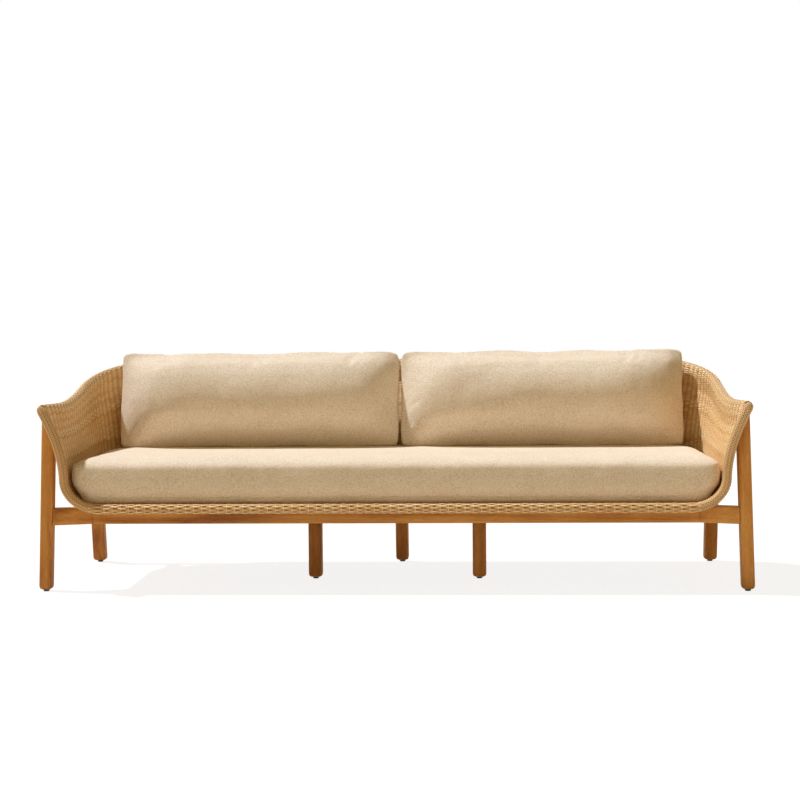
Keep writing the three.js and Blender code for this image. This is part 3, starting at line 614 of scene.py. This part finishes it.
def weavePan():
    edge = skinPoint(np.linspace(0, wholeRound / 2, panWeave["edgePoints"]), 2.0)
    front, back = edge[0, 1], edge[-1, 1]
    order = np.argsort(edge[:, 1])
    edgeY, edgeX = edge[order, 1], edge[order, 0]
    height = shell["panHeight"]
    straightEnd = shell["halfWidth"] - shell["cornerRadius"]
    up = np.array([0.0, 0.0, 1.0])
    weavers = Strands()
    pitch = panWeave["stakePitch"]
    rowCount = int((back - front) / panWeave["rowPitch"])
    for index in range(rowCount):
        y = front + (index + 0.5) * (back - front) / rowCount
        limit = np.interp(y, edgeY, edgeX) + panWeave["tuck"]
        if y > back - panWeave["backStrip"]:
            limit = straightEnd + panWeave["tuck"]
        last = int(limit / pitch * panWeave["samples"])
        u = np.arange(-last, last + 1) / panWeave["samples"]
        points = pointsFrom(u * pitch, y, height)
        weavers.add(points, np.tile(up, (len(u), 1)), np.cos(np.pi * (u + index)))
    stakes = Strands()
    columns = int(edgeX.max() / pitch)
    inner = edge[edge[:, 0] > 0]
    for column in range(-columns, columns + 1):
        x = column * pitch
        reach = back
        if abs(x) > straightEnd:
            near = inner[inner[:, 1] > shell["springDepth"] + shell["ground"]]
            reach = np.interp(abs(x), near[::-1, 0], near[::-1, 1])
        y = np.linspace(front, reach + panWeave["stakeTuck"], panWeave["stakePoints"])
        points = pointsFrom(x, y, height)
        stakes.add(points, np.tile(up, (len(y), 1)))
    return [weave("pan_weavers", weavers, panWeave["strand"]),
            weave("pan_stakes", stakes, wallWeave["stake"])]


# round borders: a dark core, strands along it and strands wound across it
border = {
    "samples": 4, "armPoints": 40,
    "coreRadius": 0.0132, "coreSides": 14,
    "strandRadius": 0.0146, "along": 16, "alongStrand": (0.0062, 0.0022, 0.0012),
    "beat": (1.0, -0.30),  # every other strand dips where its neighbours bulge
    "hoop": (0.0062, 0.0012, 0.0), "hoopPoints": 16,
    "woundStrand": (0.0049, 0.0022, 0.0009), "woundPitch": 0.0050, "woundRadius": 0.0145,
    "woundPoints": 32, "woundWaves": 8, "woundStart": 0.006, "tipRings": (0.0005, 0.0025),
    "ringShade": 0.4, "turnShare": 1.88, "overlap": 0.06, "thinning": 3,
    "tipShare": 0.22, "tipRun": 0.016, "rimSetback": 0.005,
}


def frameAlong(path, side):  # two directions square to the path, at each of its points
    tangent = unit(np.gradient(path, axis=0))
    across = unit(np.cross(tangent, side))
    return across, np.cross(across, tangent)


def sweptCore(name, path, side, radii):
    sides = border["coreSides"]
    across, up = frameAlong(path, side)
    angles = np.arange(sides) / sides * 2 * np.pi
    rings = (path[:, None] + radii[:, None, None] * (
        across[:, None] * np.cos(angles)[None, :, None]
        + up[:, None] * np.sin(angles)[None, :, None]))
    work = bmesh.new()
    loops = [[work.verts.new(point) for point in ring] for ring in rings]
    for first, second in zip(loops, loops[1:]):
        for index in range(sides):
            after = (index + 1) % sides
            work.faces.new((first[index], first[after], second[after], second[index]))
    work.faces.new(loops[0][::-1])
    work.faces.new(loops[-1])
    bmesh.ops.recalc_face_normals(work, faces=work.faces)
    for face in work.faces:
        face.smooth = len(face.verts) == 4
    mesh = bpy.data.meshes.new(name)
    work.to_mesh(mesh)
    work.free()
    mesh.materials.append(core)
    return newObject(name, mesh)


def alongTube(strands, path, side, lifts):
    across, up = frameAlong(path, side)
    for index in range(border["along"]):
        angle = (index + 0.5) / border["along"] * 2 * np.pi
        outward = across * np.cos(angle) + up * np.sin(angle)
        strands.add(path + outward * border["strandRadius"], outward, lifts(index))


def woundRings(strands, path, side, places, radii, count, waves=0):
    across, up = frameAlong(path, side)
    run = lengths(path)
    angles = np.arange(count) / count * 2 * np.pi
    for index, (place, radius) in enumerate(zip(places, radii)):
        centre, a, b = (valuesAt(place, run, part) for part in (path, across, up))
        outward = (unit(a) * np.cos(angles)[:, None] + unit(b) * np.sin(angles)[:, None])
        lifts = np.cos(angles * waves) * border["beat"][index % 2] if waves else 1.0
        strands.add(centre + outward * radius, outward, lifts, closed=True,
                    row=border["ringShade"])


def hoops(name, path, side, places):  # the stakes' turns round a border, under its weave
    rings = Strands()
    woundRings(rings, path, side, places, np.full(len(places), border["strandRadius"]),
               border["hoopPoints"])
    return weave(name, rings, border["hoop"])


def rimPath():
    counts = np.arange(stakeCount * border["samples"] + 1) / border["samples"]
    path = skinPoint(np.interp(counts, np.arange(stakeCount + 1), stakeAround), 0.0)
    setback = border["rimSetback"]  # the end hides in the front border
    run = lengths(path)
    keep = (run > setback) & (run < run[-1] - setback)
    return path[keep], counts[keep], run[keep] - run[keep][0]


def weaveRim():
    path, counts, run = rimPath()
    side = np.array([0.0, 0.0, 1.0])
    coarse = slice(None, None, 2)
    radii = np.full(len(path[coarse]), border["coreRadius"])
    pieces = [sweptCore("rim_border_core", path[coarse], side, radii)]
    along = Strands()
    alongTube(along, path, side,
              lambda index: np.cos(2 * np.pi * counts) * border["beat"][index % 2])
    pieces.append(weave("rim_border_weave", along, border["alongStrand"]))
    atStakes = counts == np.round(counts)
    pieces.append(hoops("rim_border_stakes", path, side, run[atStakes]))
    return pieces


def frontEdgePath():
    number = border["armPoints"]
    downs = np.concatenate([np.linspace(0, 1, number), np.linspace(1, 2, number)[1:]])
    half = shellPoint(0.0, downs)
    wallHeight = shell["armRim"] - shell["panHeight"]
    half[:, 2] -= shell["lipDrop"] * (shell["armRim"] - half[:, 2]) / wallHeight
    half[0] += unit(half[0] - half[1]) * shell["border"] / 2
    return half, downs


def domed(distance):  # the share of the full radius near the arm's tip
    grow = np.clip(distance / border["tipRun"], 0, 1)
    return border["tipShare"] + (1 - border["tipShare"]) * np.sqrt(1 - (1 - grow) ** 2)


def weaveFrontEdge():
    half, downs = frontEdgePath()
    mirror = np.array([-1.0, 1.0, 1.0])
    other = half[::-1] * mirror
    pitch, samples = panWeave["stakePitch"], border["samples"]
    last = int(half[-1, 0] / pitch * samples)
    columns = np.arange(last, -last - 1, -1) / samples
    lip = pointsFrom(columns * pitch, half[-1, 1], half[-1, 2])
    side = np.array([0.0, 1.0, 0.0])
    whole = np.concatenate([half[:-1], lip[::2 * samples], other[1:]])
    run = lengths(whole)
    radii = border["coreRadius"] * domed(np.minimum(run, run[-1] - run))
    pieces = [sweptCore("front_border_core", whole, side, radii)]
    armRun = np.interp(border["turnShare"], downs, lengths(half))
    wound = Strands()
    places = np.concatenate([border["tipRings"],
                             np.arange(border["woundStart"], armRun, border["woundPitch"])])
    ringRadii = border["woundRadius"] * domed(places)
    for path, spots in ((half, places), (other, lengths(other)[-1] - places)):
        woundRings(wound, path, side, spots, ringRadii, border["woundPoints"],
                   border["woundWaves"])
    pieces.append(weave("front_border_wound", wound, border["woundStrand"]))
    along = Strands()
    tail = half[downs > border["turnShare"] - border["overlap"]]
    tailCounts = columns[0] + (lengths(tail)[-1] - lengths(tail)) / pitch
    thin = slice(None, -1, border["thinning"])
    path = np.concatenate([tail[thin], lip, (tail[thin] * mirror)[::-1]])
    counts = np.concatenate([tailCounts[thin], columns, -tailCounts[thin][::-1]])
    alongTube(along, path, side, lambda index: np.cos(np.pi * (counts + index)))
    pieces.append(weave("front_border_weave", along, border["alongStrand"]))
    pieces.append(hoops("front_border_stakes", lip, side, lengths(lip)[::samples]))
    return pieces


wallPieces = weaveWall() + weavePan()
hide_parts("woven_shell")
rimPieces = weaveRim()
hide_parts("rim_wrap")
frontPieces = weaveFrontEdge()
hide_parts("front_edge_wrap")
for piece in wallPieces + rimPieces + frontPieces:
    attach(piece, "root")
print("shell woven")


# cushions: a copy of the solid, blown up as cloth and capped
blowing = {
    "quality": 4, "frames": 20,
    "rounds": 60, "keep": 0.3, "spread": 0.7,  # the smoothing that parts folds from bulge
}
seatCushion = {
    "voxel": 0.013, "shrink": 0.004, "cap": 0.016, "pressure": 4.0, "wrinkle": 0.9,
    "swell": 0.10, "fill": 0.75, "clear": 0.0005, "endFolds": 1.0,
    "waves": 0.0035, "waveScale": 7.0, "ripples": 0.0012, "rippleScale": 24.0,
    "squareRun": 0.040, "squarePower": 2.4, "topRun": 0.050, "topPower": 1.5,
    "footLift": 0.015, "footRun": 0.035, "seamHeight": 0.028, "bandFlare": 0.004,
}
backCushion = {
    "voxel": 0.010, "shrink": 0.005, "cap": 0.020, "pressure": 4.0, "wrinkle": 1.0,
    "swell": 0.12, "fill": 0.7, "clear": 0.0005, "endFolds": 0.1,
    "waves": 0.0065, "waveScale": 6.5, "ripples": 0.0012, "rippleScale": 24.0,
    "lean": math.radians(14.6), "crown": 0.034, "roll": 0.058, "endPower": 5, "frontDepth": 0.8,
    "plump": (0.0058, 0.003),  # how far the inner and the outer end stand out
    "sag": 0.013, "sagRun": 0.09, "rest": 0.0004, "dropFrom": 0.2,
}


def coordinates(mesh, kind="co"):
    values = np.empty(len(mesh.vertices) * 3)
    mesh.vertices.foreach_get(kind, values)
    return values.reshape(-1, 3)


def setCoordinates(mesh, values):
    mesh.vertices.foreach_set("co", values.ravel())
    mesh.update()


def vertexNormals(mesh):
    return coordinates(mesh, "normal")


def meshTree(mesh):
    return BVHTree.FromPolygons([vertex.co[:] for vertex in mesh.vertices],
                                [face.vertices[:] for face in mesh.polygons])


weldReach = 0.00005


def mergedCopy(node, name):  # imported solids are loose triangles
    source = bpy.data.objects[node]
    work = bmesh.new()
    work.from_mesh(source.data)
    work.transform(source.matrix_world)
    bmesh.ops.remove_doubles(work, verts=work.verts, dist=weldReach)
    mesh = bpy.data.meshes.new(name)
    work.to_mesh(mesh)
    work.free()
    return newObject(name, mesh)


def smoothed(mesh, values):  # each vertex's value averaged with its neighbours
    pairs = np.empty(len(mesh.edges) * 2, dtype=np.int64)
    mesh.edges.foreach_get("vertices", pairs)
    first, second = pairs.reshape(-1, 2).T
    number = len(mesh.vertices)
    degree = np.bincount(first, minlength=number) + np.bincount(second, minlength=number)
    for _ in range(blowing["rounds"]):
        total = np.stack([
            np.bincount(first, values[second, axis], number)
            + np.bincount(second, values[first, axis], number) for axis in range(3)], axis=1)
        values = blowing["keep"] * values + blowing["spread"] * total / degree[:, None]
    return values


def inflate(piece, sizes):
    remesh = piece.modifiers.new("even", "REMESH")
    remesh.mode = "VOXEL"
    remesh.voxel_size = sizes["voxel"]
    settle(piece)
    base = coordinates(piece.data)
    start = base - vertexNormals(piece.data) * sizes["shrink"]
    setCoordinates(piece.data, start)
    cloth = piece.modifiers.new("cloth", "CLOTH")
    cloth.settings.quality = blowing["quality"]
    cloth.settings.use_pressure = True
    cloth.settings.uniform_pressure_force = sizes["pressure"]
    cloth.settings.effector_weights.gravity = 0
    for number in range(1, blowing["frames"] + 1):
        scene.frame_set(number)
    depsgraph = bpy.context.evaluated_depsgraph_get()
    blown = bpy.data.meshes.new_from_object(piece.evaluated_get(depsgraph))
    move = coordinates(blown) - start
    piece.modifiers.clear()
    bpy.data.meshes.remove(blown)
    scene.frame_set(1)
    far = np.linalg.norm(move, axis=1, keepdims=True)
    move = move * np.minimum(1, sizes["cap"] / np.maximum(far, tiny))
    broad = smoothed(piece.data, move)
    # the folds that the cloth found, on the solid's own full shape
    folds = (move - broad) * sizes["wrinkle"] + broad * sizes["swell"]
    folds[:, 0] *= sizes["endFolds"]
    setCoordinates(piece.data, base + folds)


def squareEdge(mesh, level, run, power):  # the rounding near a level drawn to a firm edge
    points = coordinates(mesh)
    share = np.clip((points[:, 2] - level) / run, 0, 1)
    points[:, 2] += run * (share ** power - share)
    setCoordinates(mesh, points)


def liftFoot(mesh, low, high, lift, run):  # the bottom edge stands off what the pad lies on
    points = coordinates(mesh)
    near = np.minimum(points[:, 1] - low[1], np.minimum(points[:, 0] - low[0],
                                                        high[0] - points[:, 0]))
    height = np.clip((points[:, 2] - low[2]) / (2 * run), 0, 1)
    points[:, 2] += lift * (1 - eased(near, 0, run)) * (1 - height)
    setCoordinates(mesh, points)


def restOn(mesh, under, sizes):  # the foot sinks until it lies on the cushion below
    points = coordinates(mesh)
    foot = points[:, 2].min()
    below = meshTree(under)
    down = Vector((0, 0, -1))
    for index in np.nonzero(points[:, 2] < foot + sizes["sagRun"])[0]:
        point = points[index]
        point[2] -= sizes["sag"] * (1 - (point[2] - foot) / sizes["sagRun"])
        hit = below.ray_cast(Vector((point[0], point[1], foot + sizes["dropFrom"])), down)[0]
        if hit is not None and point[2] < hit.z + sizes["rest"]:
            point[2] = hit.z + sizes["rest"]
    setCoordinates(mesh, points)


def crownFront(mesh, middle, sizes):
    # the front swells in the middle and rolls back to all four edges, like a pillow
    lean, crown, roll = sizes["lean"], sizes["crown"], sizes["roll"]
    upward = np.array([0.0, math.sin(lean), math.cos(lean)])
    forward = np.array([0.0, -math.cos(lean), math.sin(lean)])
    points = coordinates(mesh)
    offset = points - middle
    height = offset @ upward
    height = height / np.abs(height).max()
    depth = offset @ forward
    depth = np.clip(depth / depth.max(), 0, 1)
    along = offset[:, 0] / np.abs(offset[:, 0]).max()
    pillow = (1 - height ** 2) * (1 - np.abs(along) ** sizes["endPower"])
    swell = (crown + roll) * pillow - roll
    front = eased(depth, 0, sizes["frontDepth"])
    setCoordinates(mesh, points + forward * (swell * front)[:, None])


def soften(mesh, amount, scale):  # slow waves over the whole cushion
    points = coordinates(mesh)
    normals = vertexNormals(mesh)
    shifts = np.array([noise.noise(Vector(point) * scale) for point in points])
    setCoordinates(mesh, points + normals * (shifts * amount)[:, None])


seamLine = {
    "width": 0.016, "sink": 0.0028, "pitch": 0.012, "apart": 0.0013, "rise": 0.3,
    "strand": (0.0028, 0.0024, 0.001),
}


def seamAround(name, cushion, middle, normal):
    # the seam's line is where a plane cuts the cushion, and the cloth sinks to it
    points = coordinates(cushion.data)
    normals = vertexNormals(cushion.data)
    off = np.abs((points - middle) @ normal)
    facing = 1 - np.abs(normals @ normal)
    sink = np.clip(1 - off / seamLine["width"], 0, 1) ** 2 * seamLine["sink"] * facing
    setCoordinates(cushion.data, points - normals * sink[:, None])
    work = bmesh.new()
    work.from_mesh(cushion.data)
    everything = work.verts[:] + work.edges[:] + work.faces[:]
    cut = bmesh.ops.bisect_plane(work, geom=everything, plane_co=middle, plane_no=normal)
    path = np.array([item.co[:] for item in cut["geom_cut"]
                     if isinstance(item, bmesh.types.BMVert)])
    work.free()
    flat = path - middle
    across = np.cross(normal, [1.0, 0.0, 0.0])
    path = path[np.argsort(np.arctan2(flat @ across, flat[:, 0]))]
    whole = np.concatenate([path, path[:1]])
    run = lengths(whole)
    even = np.linspace(0, run[-1], int(run[-1] / seamLine["pitch"]), endpoint=False)
    path = valuesAt(even, run, whole)
    tree = meshTree(cushion.data)
    outward = np.array([tree.find_nearest(Vector(point))[1][:] for point in path])
    strands = Strands()
    for side in (-1, 1):
        strands.add(path + normal * side * seamLine["apart"], unit(outward),
                    seamLine["rise"], closed=True)
    return weave(name, strands, seamLine["strand"], canvas)


def shapeSeat(mesh, low, high, sizes):
    squareEdge(mesh, low[2], sizes["squareRun"], sizes["squarePower"])
    liftFoot(mesh, low, high, sizes["footLift"], sizes["footRun"])
    squareEdge(mesh, high[2], -sizes["topRun"], sizes["topPower"])
    middle = np.array([0.0, (low[1] + high[1]) / 2, low[2] + sizes["seamHeight"]])
    points = coordinates(mesh)
    level = np.clip((middle[2] - points[:, 2]) / sizes["seamHeight"], 0, 1)
    outward = vertexNormals(mesh) * [1.0, 1.0, 0.0]
    setCoordinates(mesh, points + outward * (level * sizes["bandFlare"])[:, None])
    return middle, np.array([0.0, 0.0, 1.0])


def shapeBack(mesh, low, high, sizes, under):
    leftEnd, rightEnd = sizes["plump"] if low[0] > 0 else sizes["plump"][::-1]
    points = coordinates(mesh)
    points[:, 0] = np.interp(points[:, 0], (low[0], high[0]),
                             (low[0] - leftEnd, high[0] + rightEnd))
    setCoordinates(mesh, points)
    middle = (low + high) / 2
    crownFront(mesh, middle, sizes)
    restOn(mesh, under, sizes)
    return middle, np.array([0.0, math.cos(sizes["lean"]), -math.sin(sizes["lean"])])


def makeCushion(node, sizes, under=None):
    piece = mergedCopy(node, node.replace("cushion", "pad"))
    inflate(piece, sizes)
    smooth = piece.modifiers.new("smooth", "SUBSURF")
    smooth.levels = smooth.render_levels = 1
    settle(piece)
    soften(piece.data, sizes["waves"], sizes["waveScale"])
    soften(piece.data, sizes["ripples"], sizes["rippleScale"])
    low, high = (np.array(corner[:]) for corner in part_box(node))
    setCoordinates(piece.data, np.clip(coordinates(piece.data), low + sizes["clear"],
                                       high - sizes["clear"]))
    if under is None:
        middle, normal = shapeSeat(piece.data, low, high, sizes)
    else:
        middle, normal = shapeBack(piece.data, low, high, sizes, under.data)
    seam = seamAround(piece.name + "_seam", piece, middle, normal)
    piece.data.materials.clear()
    piece.data.materials.append(canvas)
    piece.data.shade_smooth()
    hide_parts(node)
    for item in (piece, seam):
        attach(item, "root")
    print(piece.name, len(piece.data.polygons), "faces")
    return piece


seatPad = makeCushion("seat_cushion", seatCushion)
for word in ("left", "right"):
    makeCushion("back_cushion_" + word, backCushion, seatPad)
print("cushions made")


# teak pieces: the same shapes with their edges eased
teakPieces = {
    "z": ["front_leg_left", "front_leg_right", "mid_leg_left", "mid_leg_right",
          "rear_leg_left", "rear_leg_centre", "rear_leg_right"],
    "x": ["front_rail", "rear_rail", "mid_rail", "front_rail_end_left", "front_rail_end_right"],
    "y": ["side_rail_left", "side_rail_right", "bearer_front_left", "bearer_front_right",
          "bearer_rear_left", "bearer_rear_right"],
}
edgeWear = {"width": 0.0018, "segments": 2, "angle": math.radians(38),
            "sharpAngle": math.radians(34)}


def finishTeak(mesh, axis):
    mesh.materials.clear()
    mesh.materials.append(teakAlong[axis])
    mesh.shade_smooth()
    mesh.set_sharp_from_angle(angle=edgeWear["sharpAngle"])


for axis, nodes in teakPieces.items():
    for node in nodes:
        piece = mergedCopy(node, node + "_teak")
        bevel = piece.modifiers.new("ease", "BEVEL")
        bevel.width = edgeWear["width"]
        bevel.segments = edgeWear["segments"]
        bevel.limit_method = "ANGLE"
        bevel.angle_limit = edgeWear["angle"]
        settle(piece)
        finishTeak(piece.data, axis)
        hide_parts(node)
        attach(piece, "root")

# plugs over the two bolts that the solids leave open
plug = {"radius": 0.0077, "thickness": 0.0080, "sides": 28, "bevel": 0.0007, "segments": 2,
        "proud": 0.0002}


def railPlug(word):
    bolt = [np.array(corner[:]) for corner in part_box(f"side_rail_bolt_{word}_front")]
    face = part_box("front_rail")[0][1] - plug["proud"]
    middle = (bolt[0] + bolt[1]) / 2
    work = bmesh.new()
    bmesh.ops.create_cone(work, cap_ends=True, segments=plug["sides"], radius1=plug["radius"],
                          radius2=plug["radius"], depth=plug["thickness"])
    rims = [edge for edge in work.edges
            if len(edge.link_faces[0].verts) != len(edge.link_faces[1].verts)]
    bmesh.ops.bevel(work, geom=rims, offset=plug["bevel"], segments=plug["segments"],
                    affect="EDGES")
    bmesh.ops.rotate(work, verts=work.verts, matrix=Matrix.Rotation(math.pi / 2, 3, "X"))
    bmesh.ops.translate(work, verts=work.verts, vec=Vector(
        (middle[0], face + plug["thickness"] / 2, middle[2])))
    mesh = bpy.data.meshes.new("rail_plug_" + word)
    work.to_mesh(mesh)
    work.free()
    finishTeak(mesh, "x")
    piece = newObject("rail_plug_" + word, mesh)
    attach(piece, "root")


for word in ("left", "right"):
    railPlug(word)

otherFinishes = (
    ("plug", teakAlong["y"]), ("dowel", teakAlong["x"]), ("bolt", drawn["steel"]),
    ("tube", drawn["aluminium"]), ("glide", drawn["black_plastic"]),
)
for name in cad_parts:
    for word, finish in otherFinishes:
        if word in name:
            node = bpy.data.objects[name]
            if not node.material_slots:
                node.data.materials.append(finish)
            for holder in node.material_slots:
                holder.material = finish
print("frame finished")


# camera, floor, light
photo = {"place": (0.276, -5.8515, 0.908), "yaw": -2.60, "pitch": -2.63, "roll": -0.45,
         "lens": 72.675, "sensor": 36, "farEnd": 60}
yaw, pitch, roll = (math.radians(photo[name]) for name in ("yaw", "pitch", "roll"))
forward = Vector((math.sin(yaw) * math.cos(pitch), math.cos(yaw) * math.cos(pitch),
                  math.sin(pitch)))
right = Vector((math.cos(yaw), -math.sin(yaw), 0))
up = right.cross(forward)
rolledRight = right * math.cos(roll) + up * math.sin(roll)
rolledUp = up * math.cos(roll) - right * math.sin(roll)
cameraData = bpy.data.cameras.new("camera")
cameraData.lens = photo["lens"]
cameraData.sensor_width = photo["sensor"]
cameraData.clip_end = photo["farEnd"]
camera = newObject("camera", cameraData)
turn = Matrix((rolledRight, rolledUp, -forward)).transposed()
camera.matrix_world = Matrix.Translation(photo["place"]) @ turn.to_4x4()
scene.camera = camera

light = {
    "sun": 3.6, "sunSpread": 3.0, "sunTowards": (-0.45, 0.10, 0.85), "sunTint": (0.97, 1.0, 1.05),
    "fill": 0.32, "fillSpread": 60.0, "fillTowards": (0.42, -0.82, 0.38),
    "fillTint": (1.0, 0.755, 0.38), "sky": 0.18, "skyTint": (1.0, 0.74, 0.36),
    "backdrop": (1.0, 1.0, 1.0),
}
ground = {
    "reach": 14.0, "colour": (0.78, 0.70, 0.58), "roughness": 0.9,
    "shadow": 0.27,  # how much of the object's shadow the camera sees
    "glow": 1.18,
}


def addSun(name):
    data = bpy.data.lights.new(name, "SUN")
    data.energy = light[name]
    data.color = light[name + "Tint"]
    data.angle = math.radians(light[name + "Spread"])
    lamp = newObject(name, data)
    lamp.rotation_mode = "QUATERNION"
    lamp.rotation_quaternion = Vector(light[name + "Towards"]).to_track_quat("Z", "Y")


addSun("sun")
addSun("fill")

world = bpy.data.worlds.new("world")
scene.world = world
world.use_nodes = True
world.node_tree.nodes.clear()
sky = Graph(world.node_tree)


def seenDirectly(graph):  # by the camera, or in a mirror or through glass
    rays = graph.make("ShaderNodeLightPath")
    seen = rays["Is Camera Ray"]
    return seen.maths("MAXIMUM", seen.maths("MAXIMUM", seen, rays["Is Glossy Ray"]),
                      rays["Is Transmission Ray"])


lighting = sky.make("ShaderNodeBackground", None, [light["skyTint"], light["sky"]])[0]
backdrop = sky.make("ShaderNodeBackground", None, [light["backdrop"], 1.0])[0]
mixed = sky.make("ShaderNodeMixShader", None, [seenDirectly(sky), lighting, backdrop])[0]
sky.make("ShaderNodeOutputWorld", None, [mixed])

floorMesh = bpy.data.meshes.new("floor")
corners = [(x * ground["reach"], y * ground["reach"], 0)
           for x, y in ((-1, -1), (1, -1), (1, 1), (-1, 1))]
floorMesh.from_pydata(corners, [], [(0, 1, 2, 3)])
floorFinish, floorGraph, floorShader = newMaterial("floor")
dress(floorGraph, floorShader, Base_Color=ground["colour"], Roughness=ground["roughness"],
      Specular_IOR_Level=0.0)
glow = floorGraph.make("ShaderNodeEmission", None, [light["backdrop"], ground["glow"]])[0]
glowShare = seenDirectly(floorGraph) * (1 - ground["shadow"])
lit = Signal(floorGraph, floorShader.outputs[0])
floorMix = floorGraph.make("ShaderNodeMixShader", None, [glowShare, lit, glow])[0]
floorGraph.feed(floorFinish.node_tree.nodes["Material Output"].inputs["Surface"], floorMix)
floorMesh.materials.append(floorFinish)
floor = newObject("floor", floorMesh)
scene.view_settings.view_transform = "Standard"
print("camera, light and floor set")
